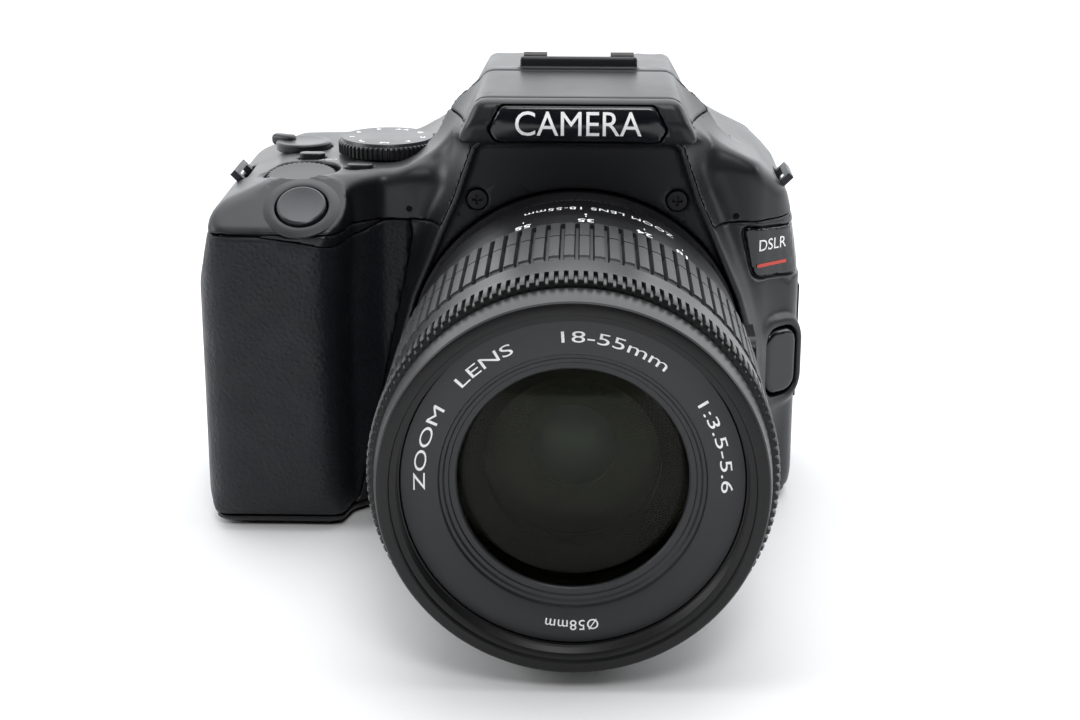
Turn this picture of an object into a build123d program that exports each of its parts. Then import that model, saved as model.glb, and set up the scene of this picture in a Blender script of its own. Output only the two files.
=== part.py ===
from build123d import *
from math import cos, pi, radians, sin
import os

# A compact single-lens reflex camera with its zoom lens fitted, in millimetres.
# Origin: mouth of the tripod socket. The lens points to -Y, the grip is at -X, +Z is up.
# Seen from the front: the screen hinge is at +X. "s" is a distance in front of the lens flange.

# --- body
flange_y = -30.0          # face that the lens seats on
axis_z = 36.0             # height of the lens axis
grip_x = -76.0            # outer side of the grip
side_x = 46.4             # outer side at the screen hinge
front_y = -22.0           # front face beside the lens
back_y = 24.5             # rear face
grip_front_y = -37.5
hump_top_z = 90.0
hair = 0.05               # the views stand this far outside the plan, so no two walls share a face
wall = 2.2
base_thick = 2.5          # bottom cover
top_seam_z = 61.5         # joint between the lower covers and the top cover
arch_back_y = -18.0       # the arch round the lens belongs to the front cover up to here
rear_seam_y = 8.0         # joint between the front and the rear cover
inner_back_y = 17.5       # inside of the rear cover
ceiling_z = 65.4          # inside of the top cover beside the hump
gap = 0.3                 # clearance round anything that moves
rubber_thick = 1.2

# --- lens, radii and distances in front of the flange
flange_r = 31.5
barrel_r = 33.0
ring_r = 33.4             # zoom ring beside its rubber
rubber_r = 34.3
lens_r = 34.5             # focus ring, the widest one
rim_r = 32.4
thread_r = 29.0           # filter thread
sleeve_r = 28.6           # fixed guide sleeve inside the zoom ring
tube_r = 31.2             # tube that runs out when zooming
barrel_end = 19.8
zoom_end = 55.2
band_end = 62.8
focus_end = 69.1
lens_length = 76.0
lens_switches = {"focus_switch": 8.6, "stabiliser_switch": 15.2}

# --- hot shoe
shoe_top_z = 92.6
shoe_width = 18.6         # between the rails
shoe_floor_z = 89.5
shoe_half = 11.1          # half the width over the rails
shoe_lip = 4.7            # how far each rail reaches over the foot
shoe_lip_thick = 0.9
shoe_y = (-6.5, 11.5)

# --- top controls: centre of the face that each one stands on
slope_tilt = 35.8         # lean of the shutter button's slope
shutter_at = (-53.5, -31.8, 65.9)
shutter_r = 4.9
dial_tilt = 10.0
main_dial_at = (-55.2, -17.0, 66.9)
main_dial_r = 7.2
main_dial_height = 2.5
mode_dial_at = (-39.4, -2.0, 71.0)
mode_dial_r = 10.25
switch_at = (-58.0, 5.0, 69.9)
switch_r = 5.75
top_buttons = {"iso_button": (-43.6, -17.0), "display_button": (-54.6, -6.3)}
top_button_size = (5.2, 2.6)
deck_z = 70.9             # top deck under the mode dial

# --- strap lugs: middle of each plate
grip_lug_at = (-67.4, -5.0, 65.0)
hinge_lug_at = (39.9, -8.0, 66.0)
lug_lean = 45.0
lug_thick = 1.4

# --- flash
flash_axis = (-11.0, 88.4)      # y and z of its hinge
flash_floor_z = 81.5

# --- rear controls, as (x, z, radius) on the rear face
rear_buttons = {
    "menu_button": (-33.0, 58.0, 2.6),
    "info_button": (-43.0, 58.0, 2.6),
    "live_view_button": (-33.0, 49.0, 3.0),
    "ae_lock_button": (-58.0, 59.0, 2.5),
    "af_point_button": (-67.0, 57.5, 2.5),
    "exposure_button": (-43.5, 48.6, 2.6),
    "playback_button": (-35.0, 15.0, 2.8),
}
pad_at = (-42.0, 32.0)
pad_r = 9.0
set_r = 3.9
knob_at = (-20.4, 78.0)
knob_r = 3.2

# --- finder: width and height of the cup, its window and its flared mouth
eyecup_size = (33.0, 21.0)
eye_window = (19.0, 12.0)
eye_mouth = (25.0, 16.0)
eyecup_y = 32.3
eyecup_z = 74.8

# --- screen and its hinge
screen_x = (-26.5, 40.2)
screen_z = (5.6, 63.4)
recess_y = 19.7
screen_back_y = 27.0
swing_at = (43.2, 23.4)
swing_pin_r = 1.2
post_z = ((15.0, 21.6), (47.4, 54.0))

# --- lens release
release_at = (41.2, -17.8, 31.5)
release_normal = (0.633, -0.774, 0)
pin_x = 30.4
pin_r = 1.2

# --- under the camera
door_x = (-67.2, -50.8)
door_y = (-30.4, 4.4)
battery_top_z = 52.6
bush_r = 6.0
bush_height = 9.0
socket_depth = 7.0
socket_r = 3.2
screw_head_r = 1.9
bottom_screws = [(30, -12), (30, 14), (-30, 14), (-30, -12)]
arch_screws = [(-19.5, 67.2), (19.5, 67.2)]
ring_screw_r = 31.3
ring_screw_angles = [35, 145, 215, 325]


# --- mirror: y and z of its axle, and its lean at rest
mirror_axis = (6.2, 56.0)
mirror_rest = 45.0


# ---------------------------------------------------------------- small helpers

def block(x0, x1, y0, y1, z0, z1):
    return Pos((x0 + x1) / 2, (y0 + y1) / 2, (z0 + z1) / 2) * Box(x1 - x0, y1 - y0, z1 - z0)


def outline(points, radii):
    return make_face(FilletPolyline(*points, radius=radii, close=True).edges())


def sharp(points):
    return make_face(Polyline(*points, close=True).edges())


def shrink(face, inset):
    return offset(face, -inset) if inset else face


def front_prism(face, y0, y1):
    """Extrude an (x, z) face from y0 back to y1."""
    plane = Plane(origin=(0, y1, 0), x_dir=(1, 0, 0), z_dir=(0, -1, 0))
    return extrude(plane * face, y1 - y0, dir=(0, -1, 0))


def side_prism(face, x0, x1):
    """Extrude a (y, z) face from x0 to x1."""
    plane = Plane(origin=(x0, 0, 0), x_dir=(0, 1, 0), z_dir=(1, 0, 0))
    return extrude(plane * face, x1 - x0, dir=(1, 0, 0))


def plan_prism(face, z0, z1):
    return extrude(Pos(0, 0, z0) * face, z1 - z0, dir=(0, 0, 1))


def disc(radius, low, high, at, tilt=0.0):
    """A cylinder from low to high above a point, leaning forward by tilt."""
    return Pos(*at) * Rot(tilt, 0, 0) * Pos(0, 0, (low + high) / 2) * Cylinder(radius, high - low)


def knurled(tip_r, root_r, count):
    """Face of a disc with square ribs round it."""
    step = 2 * pi / count
    corners = []
    for i in range(count):
        for radius, shift in ((root_r, 0), (tip_r, 0.12), (tip_r, 0.5), (root_r, 0.62)):
            angle = (i + shift) * step
            corners.append((radius * cos(angle), radius * sin(angle)))
    return sharp(corners)


def turned(points):
    """Turn an outline of (radius, s) about the lens axis."""
    face = Pos(0, 0, axis_z) * sharp([(r, flange_y - s) for r, s in points])
    return revolve(face, Axis((0, 0, axis_z), (0, 1, 0)), 360)


def ring(r_out, r_in, s0, s1):
    return turned([(r_in, s0), (r_out, s0), (r_out, s1), (r_in, s1)])


def rod(radius, x, z, s0, s1):
    """A round bar parallel to the lens axis."""
    y = flange_y - (s0 + s1) / 2
    return Pos(x, y, z) * Rot(90, 0, 0) * Cylinder(radius, s1 - s0)


def sector(angle, width, reach=40):
    """A wedge about the lens axis, to cut a ring into lugs."""
    half = radians(width / 2)
    mid = radians(angle)
    points = [(0, axis_z)]
    for a in (mid - half, mid, mid + half):
        points.append((reach * cos(a), axis_z + reach * sin(a)))
    return front_prism(sharp(points), -60, 0)


# ---------------------------------------------------------------- outer shape of the body

def main_volume(inset=0.0):
    """Where the plan, the front view and the side view of the body all overlap."""
    left, right = grip_x - hair, side_x + hair
    front = outline(
        [(left, 0), (right, 0), (right, 50), (42.2, 66.7), (36, 73), (24.3, 76),
         (-28, 71.4), (-60, 70.4), (-71, 66), (left, 50)],
        [7, 6, 8, 6, 4, 3, 6, 6, 6, 8])
    plan = outline(
        [(grip_x, back_y), (side_x, back_y), (side_x, -13.5), (36, front_y), (-39, front_y),
         (-45, -27), (-47.5, grip_front_y), (-72, grip_front_y), (grip_x, -27)],
        [9, 8, 6, 5, 3, 4, 8, 9, 9])
    nose, tail = grip_front_y - hair, back_y + hair
    side = outline(
        [(-33, 0), (nose, 7), (nose, 46), (-36.9, 62.2), (-22.5, 72.6), (-19, 82),
         (16, 82), (tail, 67), (tail, 0)],
        [4, 8, 20, 3, 3, 1, 2, 4, 3])
    solid = plan_prism(shrink(plan, inset), -5, 90)
    solid &= front_prism(shrink(front, inset), -60, 60)
    solid &= side_prism(shrink(side, inset), -90, 60)
    return solid


def arch_face():
    half = [(20, 79.3), (24, 67.6), (27, 61), (32.5, 48), (36, 36), (36, 20), (31, 3)]
    radii = [3, 8, 10, 14, 14, 14, 6]
    points = half + [(-x, z) for x, z in reversed(half)]
    return outline(points, radii + radii[::-1])


def hump_volume(inset=0.0):
    front = outline(
        [(-31, 66), (31, 66), (31, 72), (23.5, 79), (18.3, hump_top_z), (-18.3, hump_top_z),
         (-23.5, 79), (-31, 71.4)],
        [1, 1, 3, 8, 2.5, 2.5, 8, 3])
    side = outline(
        [(-34.8, 79.3), (-35.5, 83), (-34, 87.6), (-8.2, hump_top_z), (13, hump_top_z), (back_y, 84),
         (back_y, 60), (arch_back_y, 60), (arch_back_y, 79.3)],
        [1, 4, 2, 3, 2, 5, 1, 1, 1])
    return front_prism(shrink(front, inset), -60, 60) & side_prism(shrink(side, inset), -40, 40)


def inside():
    """The hollow of the body."""
    room = main_volume(wall) & block(-90, 60, -60, inner_back_y, base_thick, ceiling_z)
    room += block(-20, 20, -16, inner_back_y, 60, 79)
    room += block(-16, 16, -6, inner_back_y, 60, 86)
    return room


# ---------------------------------------------------------------- pockets in the covers

def lens_opening():
    return ring(33.2, 0, -4, 3) + ring(29.6, 0, -14, -3)


def release_shape(low, high, grow=0.0):
    """The release button's rounded oblong, from low to high along its normal."""
    plane = Plane(origin=release_at, x_dir=(0, 0, 1), z_dir=release_normal)
    face = RectangleRounded(14 + 2 * grow, 9 + 2 * grow, 3.4 + grow)
    return extrude(plane.offset(low) * face, high - low)


def lug_loop(side):
    """A strap lug: a flat loop that leans outward from the shoulder."""
    at = grip_lug_at if side < 0 else hinge_lug_at
    plate = Box(9, 11, lug_thick) - Pos(side * 1.9, 0, 0) * Box(2.6, 8, 2 * lug_thick)
    return Pos(*at) * Rot(0, -lug_lean * side, 0) * plate


def screw(radius, length, at, facing):
    """A cross-head screw whose head's top is at a point and faces one way."""
    plane = Plane(origin=at, z_dir=facing)
    head = extrude(plane.offset(-1.2) * Circle(radius), 1.2)
    shank = extrude(plane.offset(-length) * Circle(radius * 0.5), length - 1.2)
    cross = Rectangle(radius * 1.1, radius * 0.28) + Rectangle(radius * 0.28, radius * 1.1)
    return head + shank - extrude(plane.offset(-0.7) * cross, 2)


def screws():
    group = [screw(screw_head_r, 5, (x, flange_y + 1.0, z), (0, -1, 0)) for x, z in arch_screws]
    group += [screw(screw_head_r, 5, (x, y, 0.5), (0, 0, -1)) for x, y in bottom_screws]
    for angle in ring_screw_angles:
        x = ring_screw_r * cos(radians(angle))
        z = axis_z + ring_screw_r * sin(radians(angle))
        group.append(screw(1.2, 5, (x, flange_y + 0.1, z), (0, -1, 0)))
    return group


def screw_hole(radius, length, at, facing):
    plane = Plane(origin=at, z_dir=facing)
    wide = extrude(plane.offset(-1.2) * Circle(radius + 0.1), 6)
    return wide + extrude(plane.offset(-length - 1) * Circle(radius * 0.5 + 0.1), length)


def arch_screw_holes():
    return [screw_hole(screw_head_r, 5, (x, flange_y + 1.0, z), (0, -1, 0)) for x, z in arch_screws]


def bottom_screw_holes():
    return [screw_hole(screw_head_r, 5, (x, y, 0.5), (0, 0, -1)) for x, y in bottom_screws]


def ring_screw_holes():
    holes = []
    for angle in ring_screw_angles:
        x = ring_screw_r * cos(radians(angle))
        z = axis_z + ring_screw_r * sin(radians(angle))
        holes.append(screw_hole(1.2, 5, (x, flange_y + 0.1, z), (0, -1, 0)))
    return holes


def top_pockets():
    cuts = [disc(shutter_r + gap, -6, 8, shutter_at, slope_tilt),
            disc(main_dial_r + gap, -0.4, 9, main_dial_at, dial_tilt),
            disc(2.3, -4, 9, main_dial_at, dial_tilt),
            disc(mode_dial_r + gap, -0.2, 8, mode_dial_at),
            disc(2.3, -5, 8, mode_dial_at),
            disc(switch_r + gap, -0.2, 8, switch_at),
            disc(2.3, -5, 8, switch_at)]
    for x, y in top_buttons.values():
        w, d = top_button_size
        face = RectangleRounded(w + 2 * gap, d + 2 * gap, d / 2)
        cuts.append(Pos(x, y, 0) * plan_prism(face, deck_z - 3.4, 80))
    cuts += [lug_loop(-1), lug_loop(1)]
    return cuts


def rear_pockets():
    cuts = [front_prism(Pos(x, z) * Circle(r + gap), back_y - 3.6, back_y + 4)
            for x, z, r in rear_buttons.values()]
    cuts.append(front_prism(Pos(*pad_at) * Circle(pad_r + 0.4), back_y - 3.8, back_y + 4))
    return cuts


def screen_tray():
    tray = block(screen_x[0] - 0.5, 60, recess_y, 60, screen_z[0] - 0.5, screen_z[1] + 0.5)
    x, y = swing_at
    for low, high in post_z:
        post = Pos(x, y, (low + high) / 2) * Cylinder(2.6, high - low)
        post += block(x - 2, x + 2, recess_y - 0.5, y, low, high)
        hole = Pos(x, y, (low + high) / 2) * Cylinder(swing_pin_r + 0.06, high - low)
        tray -= post - hole
    return tray


def flash_space(grow=0.0):
    """The part of the hump that rises with the flash."""
    g = grow
    rear = flash_axis[0] + 1.6 + g
    side = sharp([(-27.5 - g, flash_floor_z - g), (rear, flash_floor_z - g), (rear, flash_axis[1]),
                  (rear - 0.5, flash_axis[1] + 1.1), (rear - 1.2, flash_axis[1] + 1.8), (rear - 1.2, 99),
                  (-31.2 - g, 99), (-31.2 - g, 87.2 - g)])
    return side_prism(side, -40, 40)


def plate_zone():
    half = [(15.6, 79.7), (17.2, 82), (14.6, 86.7)]
    points = half + [(-x, z) for x, z in reversed(half)]
    radii = [1.2, 1.5, 1.5]
    return front_prism(outline(points, radii + radii[::-1]), -40, -33.2)


def grip_zone():
    face = sharp([(-90, base_thick + 0.3), (-44.5, base_thick + 0.3), (-33.5, 59), (-33.5, top_seam_z),
                  (-90, top_seam_z)])
    return front_prism(face, -60, -5.5)


def thumb_zone():
    return front_prism(outline([(-90, 28), (-57, 30), (-54.5, 53), (-90, 53)], [1, 5, 5, 1]), 14, 60)


def badge_zone():
    face = outline([(32.6, 61.2), (35.2, 49), (60, 46), (60, 60.5)], [1.2, 2.4, 1, 1])
    return front_prism(face, -60, -7)


def audio_recess(grow=0.0):
    g = grow
    return block(45.1 - g, 60, -7.6 - g, 4.6 + g, 20.4 - g, 44.6 + g)


def data_recess(grow=0.0):
    g = grow
    return block(-90, -74.7 + g, -3.6 - g, 6.4 + g, 19.4 - g, 43.6 + g)


# ---------------------------------------------------------------- covers and rubber

outer_main = main_volume()
outer_hump = hump_volume()
arch = front_prism(arch_face(), flange_y + 0.5, arch_back_y)
arch_zone = front_prism(arch_face(), -60, arch_back_y)
skin_rubber = outer_main - main_volume(rubber_thick)
skin_thumb = outer_main - main_volume(1.0)
skin_thin = outer_main - main_volume(0.7)
body_shell = outer_main + outer_hump + arch - inside()
lower = block(-90, 60, -60, rear_seam_y, base_thick, top_seam_z)
upper = block(-90, 60, -60, 60, top_seam_z, 100)


def largest(shape):
    return max(shape.solids(), key=lambda s: s.volume)


def make_front_cover():
    cover = (body_shell & lower) + (body_shell & upper & arch_zone)
    cover -= lens_opening()
    cover -= skin_rubber & grip_zone()
    cover -= skin_thin & badge_zone()
    cover -= release_shape(-7, 12, 0.35)
    cover -= audio_recess(0.2)
    cover -= data_recess(0.2)
    cover -= rod(pin_r + 0.4, pin_x, axis_z, -20, -3)
    cover -= disc(shutter_r + gap, -6, 8, shutter_at, slope_tilt)
    for hole in arch_screw_holes() + ring_screw_holes():
        cover -= hole
    return largest(cover)


def make_top_cover():
    cover = (body_shell & upper) - arch_zone
    cover -= flash_space(0.3) & block(-40, 40, -60, 0, 60, 100)
    cover -= plate_zone()
    cover += block(-11.8, 11.8, -8.2, -6.7, 86, 92.0)
    cover -= block(-11.3, 11.3, -6.7, 30, shoe_floor_z - 0.8, 100)
    cover -= block(-9.6, 9.6, 10, 30, 68.5, 80)
    cover -= front_prism(Pos(*knob_at) * Circle(knob_r + gap), 21, 40)
    cover -= screen_tray()
    for cut in top_pockets():
        cover -= cut
    cover -= skin_thin & badge_zone()
    return largest(cover)


def make_rear_cover():
    zone = block(-90, 60, rear_seam_y, 60, base_thick, top_seam_z)
    cover = (body_shell & zone) - screen_tray()
    cover -= skin_thumb & thumb_zone()
    for cut in rear_pockets():
        cover -= cut
    return largest(cover)


def make_bottom_cover():
    plate = outer_main & block(-90, 60, -60, 60, 0, base_thick)
    plate -= block(door_x[0] - 0.25, door_x[1] + 0.25, door_y[0] - 0.25, door_y[1] + 0.25, -1, 4)
    plate -= disc(bush_r + 0.1, -1, 4, (0, 0, 0))
    for hole in bottom_screw_holes():
        plate -= hole
    return largest(plate)


# ---------------------------------------------------------------- hump, flash, shoe, eyepiece

def make_flash_head():
    head = outer_hump & flash_space()
    head -= block(-17, 17, -25.5, -13, 80, 86.4)
    return largest(head - flash_window_shape(0.15))


def flash_window_shape(grow=0.0):
    g = grow
    face = sharp([(-27.6 - g, 82.4 - g), (-30.3 - g, 86.0 + g), (-27.5 + g, 86.0 + g), (-25.5 + g, 82.4 - g)])
    return side_prism(face, -14 - g, 14 + g) & flash_space(-0.01)


def make_hot_shoe():
    base = block(-shoe_half, shoe_half, *shoe_y, shoe_floor_z - 0.8, shoe_floor_z)
    for side in (-1, 1):
        x0, x1 = sorted((side * shoe_width / 2, side * shoe_half))
        base += block(x0, x1, *shoe_y, shoe_floor_z, shoe_top_z)
        x0, x1 = sorted((side * (shoe_half - shoe_lip), side * shoe_half))
        base += block(x0, x1, *shoe_y, shoe_top_z - shoe_lip_thick, shoe_top_z)
    return base


def make_eyecup():
    cup = front_prism(RectangleRounded(*eyecup_size, 5), back_y, eyecup_y)
    cup -= front_prism(RectangleRounded(*eye_window, 2.5), back_y - 1, eyecup_y)
    cup -= front_prism(RectangleRounded(*eye_mouth, 4), eyecup_y - 3.3, eyecup_y + 1)
    return Pos(0, 0, eyecup_z) * cup


def make_diopter_knob():
    x, z = knob_at
    return front_prism(Pos(x, z) * knurled(knob_r, knob_r - 0.35, 20), 21.3, 25.4)


# ---------------------------------------------------------------- top controls

def make_shutter_button():
    button = disc(shutter_r, -4, 1.1, shutter_at, slope_tilt)
    return fillet(button.edges().filter_by(GeomType.CIRCLE).sort_by(Axis.Z)[-1], 0.5)


def make_main_dial():
    face = knurled(main_dial_r, main_dial_r - 0.45, 36)
    wheel = Pos(*main_dial_at) * Rot(dial_tilt, 0, 0) * extrude(face, main_dial_height)
    return wheel + disc(2.0, -3.8, 0.5, main_dial_at, dial_tilt)


def make_mode_dial():
    dial = Pos(*mode_dial_at) * extrude(knurled(mode_dial_r, mode_dial_r - 0.4, 60), 2.6)
    dial += disc(mode_dial_r - 0.7, 2.6, 3.4, mode_dial_at)
    return dial + disc(2.0, -4.6, 0.5, mode_dial_at)


def make_power_switch():
    x, y, z = switch_at
    switch = disc(switch_r, 0, 2.0, switch_at) + disc(2.0, -4.6, 0.5, switch_at)
    tab = Pos(x - 4.6, y + 2.2, z + 2.2) * Rot(0, 0, -25) * Box(5.4, 2.6, 2.4)
    return switch + tab


def make_top_button(name):
    x, y = top_buttons[name]
    w, d = top_button_size
    return Pos(x, y, 0) * plan_prism(RectangleRounded(w, d, d / 2 - 0.05), deck_z - 2.2, deck_z + 0.7)


# ---------------------------------------------------------------- rear controls and screen

def make_rear_button(name):
    x, z, r = rear_buttons[name]
    button = front_prism(Pos(x, z) * Circle(r), back_y - 2.5, back_y + 0.9)
    return fillet(button.edges().filter_by(GeomType.CIRCLE).sort_by(Axis.Y)[-1], 0.3)


def make_cross_pad():
    face = Pos(*pad_at) * (Circle(pad_r) - Circle(set_r + gap))
    return front_prism(face, back_y - 2.6, back_y + 0.7)


def make_set_button():
    return front_prism(Pos(*pad_at) * Circle(set_r), back_y - 2.7, back_y + 0.5)


def make_screen_case():
    case = block(screen_x[0], screen_x[1], recess_y + 0.5, screen_back_y, *screen_z)
    case = fillet(case.edges().filter_by(Axis.Y), 3)
    case -= block(-22.2, 36.2, screen_back_y - 1.0, 30, 12.4, 60.6)
    case -= block(-20, 34, recess_y + 2, 30, 15, 58)
    return case


def make_screen_glass():
    return block(-22.1, 36.1, screen_back_y - 0.9, screen_back_y - 0.1, 12.5, 60.5)


def make_screen_hinge():
    x, y = swing_at
    low, high = post_z[0][1] + gap, post_z[1][0] - gap
    hinge = Pos(x, y, (low + high) / 2) * Cylinder(2.9, high - low)
    hinge += block(screen_x[1], x, y - 2, y + 2, low, high)
    return hinge + Pos(x, y, (post_z[0][0] + post_z[1][1]) / 2) * Cylinder(swing_pin_r, 37)


# ---------------------------------------------------------------- sides and underside

def make_release_button():
    return release_shape(-3.5, 1.4)


def make_battery_door():
    door = block(*door_x, *door_y, 0, base_thick - 0.1)
    return door - block(-66.4, -57.6, -16.4, -9.6, -1, 1.4)


def make_door_latch():
    return block(-66.1, -61, -16.1, -9.9, 0.1, 1.3)


def make_battery():
    cell = block(door_x[0] + 1.2, door_x[1] - 1.2, door_y[0] + 0.8, door_y[1] - 1.0, 3.2, battery_top_z)
    return fillet(cell.edges().filter_by(Axis.Z), 2)


def make_tripod_bush():
    return disc(bush_r, 0, bush_height, (0, 0, 0)) - disc(socket_r, -1, socket_depth, (0, 0, 0))


# ---------------------------------------------------------------- works inside the body

def make_mirror_box():
    box = block(-25, 25, -17.6, 8.4, 11, 61)
    return box - block(-21.4, 21.4, -30, 20, 15, 70)


def make_reflex_mirror():
    plate = Pos(0, -14, 0) * Box(40, 28, 1.6)
    axle = Rot(0, 90, 0) * Cylinder(1.3, 41)
    return Pos(0, *mirror_axis) * Rot(mirror_rest, 0, 0) * (plate + axle)


def make_pentamirror():
    roof = [(-15, 62.2), (13, 62.2), (13, 79), (6, 84.5), (-4.5, 84.5), (-4.5, 78.5), (-15, 72)]
    hollow = [(-13.4, 60), (11.4, 60), (11.4, 78.2), (5.4, 82.9), (-2.9, 82.9), (-2.9, 77.5), (-13.4, 71)]
    window = block(-9, 9, 5, 20, 68, 78)
    return side_prism(sharp(roof), -15.4, 15.4) - side_prism(sharp(hollow), -13.8, 13.8) - window


def make_shutter_unit():
    frame = block(-27, 27, 8.7, 11.4, 10, 62)
    return frame - block(-18.5, 18.5, 0, 10.8, 23.5, 48.5)


def make_image_sensor():
    board = block(-19, 19, 13.2, 14.6, 20, 52)
    return board + block(-13, 13, 12.2, 13.2, 27, 45)


def make_main_board():
    board = block(-40, 38, 15.3, 16.6, 6, 60)
    return board - block(-12, 12, 15, 17, 50, 61)


# ---------------------------------------------------------------- lens mount and lens

def lens_lugs(r_out, r_in, s0, s1, width):
    lugs = ring(r_out, r_in, s0, s1)
    return [lugs & sector(angle, width) for angle in (90, 210, 330)]


def make_body_mount_ring():
    mount = ring(33, 29.4, -4, 0)
    for lug in lens_lugs(29.6, 27.0, -1.4, 0, 60):
        mount += lug
    mount -= rod(pin_r + 0.06, pin_x, axis_z, -6, 2)
    for hole in ring_screw_holes():
        mount -= hole
    return mount


def make_lens_bayonet():
    flange = ring(flange_r, 24.5, 0, 2.4) + ring(26.6, 24.5, -6, 0.1)
    for lug in lens_lugs(29.1, 26.4, -3.2, -1.8, 52):
        flange += lug
    return flange - rod(pin_r + 0.4, pin_x, axis_z, -1, 1.7)


def make_fixed_barrel():
    barrel = turned([(24.6, 2.4), (31.3, 2.4), (32.6, 5.5), (barrel_r, 8), (barrel_r, barrel_end),
                     (sleeve_r, barrel_end), (sleeve_r, 50), (27, 50), (27, 6), (24.6, 6)])
    panel = RectangleRounded(18, 13, 3)
    plane = Plane(origin=(29, flange_y - 12, axis_z), x_dir=(0, 0, 1), z_dir=(1, 0, 0))
    barrel += extrude(plane * panel, 5.2)
    for s in lens_switches.values():
        barrel -= block(33.0, 40, flange_y - s - 1.9, flange_y - s + 1.9, 31.6, 40.4)
    return barrel


def make_lens_switch(s):
    """A small slider in the panel on the barrel."""
    y = flange_y - s
    slider = block(33.2, 34.3, y - 1.6, y + 1.6, 32.0, 37.2)
    return slider + block(34.2, 35.4, y - 1.0, y + 1.0, 33.2, 36.0)


def make_zoom_ring():
    return turned([(sleeve_r + 0.08, 20.1), (ring_r, 20.1), (ring_r, 28.7), (33.0, 28.7), (33.0, 54.1),
                   (33.6, 54.1), (33.6, zoom_end), (31.6, zoom_end), (31.6, 23.4), (sleeve_r + 0.08, 23.4)])


def make_zoom_rubber():
    return ring(rubber_r, 33.05, 28.9, 53.9)


def make_inner_barrel():
    return turned([(29.2, 24.2), (tube_r, 24.2), (tube_r, 55.6), (34.1, 55.6), (34.1, band_end),
                   (tube_r, band_end), (tube_r, 69.4), (33.0, 69.4), (rim_r, lens_length),
                   (thread_r, lens_length), (thread_r, 72.0), (28.7, 72.0), (28.7, 69.0),
                   (20.2, 69.0), (20.2, 60), (14.9, 60), (14.9, 52), (29.2, 52)])


def make_focus_ring():
    return turned([(tube_r + 0.08, band_end + 0.3), (lens_r - 0.3, band_end + 0.3), (lens_r, band_end + 0.6),
                   (lens_r, focus_end - 0.5), (lens_r - 0.5, focus_end), (tube_r + 0.08, focus_end)])


def make_name_ring():
    return turned([(19.3, 69.1), (28.6, 69.1), (28.6, 71.9), (22.4, 71.6), (21.4, 70.5), (19.3, 69.9)])


def lens_element(radius, s_back, s_front, bulge_back, bulge_front):
    """A round glass with domed faces; s_back and s_front are at its rim."""
    glass = rod(radius, 0, axis_z, s_back - 2 * bulge_back, s_front + 2 * bulge_front)
    for rim_s, bulge, toward in ((s_front, bulge_front, 1), (s_back, bulge_back, -1)):
        dome_r = (radius ** 2 + bulge ** 2) / (2 * bulge)
        centre_s = rim_s + toward * (bulge - dome_r)
        glass &= Pos(0, flange_y - centre_s, axis_z) * Sphere(dome_r)
    return glass


def make_iris():
    return turned([(7, 50.6), (7, 51.9), (20, 51.9), (20, 42), (13, 42), (13, 50.6)])


# ---------------------------------------------------------------- all the sub-parts

def build_nodes():
    nodes = {
        "front_cover": make_front_cover(),
        "top_cover": make_top_cover(),
        "rear_cover": make_rear_cover(),
        "bottom_cover": make_bottom_cover(),
        "grip_rubber": Compound([largest(skin_rubber & grip_zone()), largest(skin_thumb & thumb_zone())]),
        "name_plate": largest(outer_hump & plate_zone()),
        "badge_plate": largest(skin_thin & badge_zone()),
        "body_mount_ring": make_body_mount_ring(),
        "cross_head_screws": Compound(screws()),
        "strap_lugs": Compound([lug_loop(-1), lug_loop(1)]),
        "hot_shoe": make_hot_shoe(),
        "eyecup": make_eyecup(),
        "eyepiece_lens": block(-9.3, 9.3, 18.6, 21.4, 68.8, 79.7),
        "flash_head": make_flash_head(),
        "flash_window": flash_window_shape(),
        "shutter_button": make_shutter_button(),
        "main_dial": make_main_dial(),
        "mode_dial": make_mode_dial(),
        "power_switch": make_power_switch(),
        "screen_hinge": make_screen_hinge(),
        "screen_case": make_screen_case(),
        "screen_glass": make_screen_glass(),
        "cross_pad": make_cross_pad(),
        "set_button": make_set_button(),
        "diopter_knob": make_diopter_knob(),
        "audio_port_cover": audio_recess() & block(40, side_x - 0.1, -20, 20, 0, 60),
        "data_port_cover": data_recess() & block(grip_x + 0.1, -70, -20, 20, 0, 60),
        "battery_door": make_battery_door(),
        "door_latch": make_door_latch(),
        "battery": make_battery(),
        "tripod_bush": make_tripod_bush(),
        "release_button": make_release_button(),
        "lock_pin": rod(pin_r, pin_x, axis_z, -12, 1.2),
        "mirror_box": make_mirror_box(),
        "reflex_mirror": make_reflex_mirror(),
        "pentamirror": make_pentamirror(),
        "shutter_unit": make_shutter_unit(),
        "image_sensor": make_image_sensor(),
        "main_board": make_main_board(),
        "lens_bayonet": make_lens_bayonet(),
        "fixed_barrel": make_fixed_barrel(),
        "focus_switch": make_lens_switch(lens_switches["focus_switch"]),
        "stabiliser_switch": make_lens_switch(lens_switches["stabiliser_switch"]),
        "zoom_ring": make_zoom_ring(),
        "zoom_rubber": make_zoom_rubber(),
        "inner_barrel": make_inner_barrel(),
        "focus_ring": make_focus_ring(),
        "name_ring": make_name_ring(),
        "front_element": lens_element(20.0, 62, 67.4, 1.5, 2.2),
        "middle_element": lens_element(14.7, 53.5, 56.5, 0.8, 2.0),
        "iris": make_iris(),
    }
    for name in top_buttons:
        nodes[name] = make_top_button(name)
    for name in rear_buttons:
        nodes[name] = make_rear_button(name)
    return nodes


os.makedirs("parts", exist_ok=True)
for name, shape in build_nodes().items():
    export_step(shape, f"parts/{name}.step")
    print(name, len(shape.solids()), round(shape.volume, 1))
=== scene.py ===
import bpy
import bmesh
import math
import numpy as np
import openvdb
from mathutils import Euler, Matrix, Vector


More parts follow.
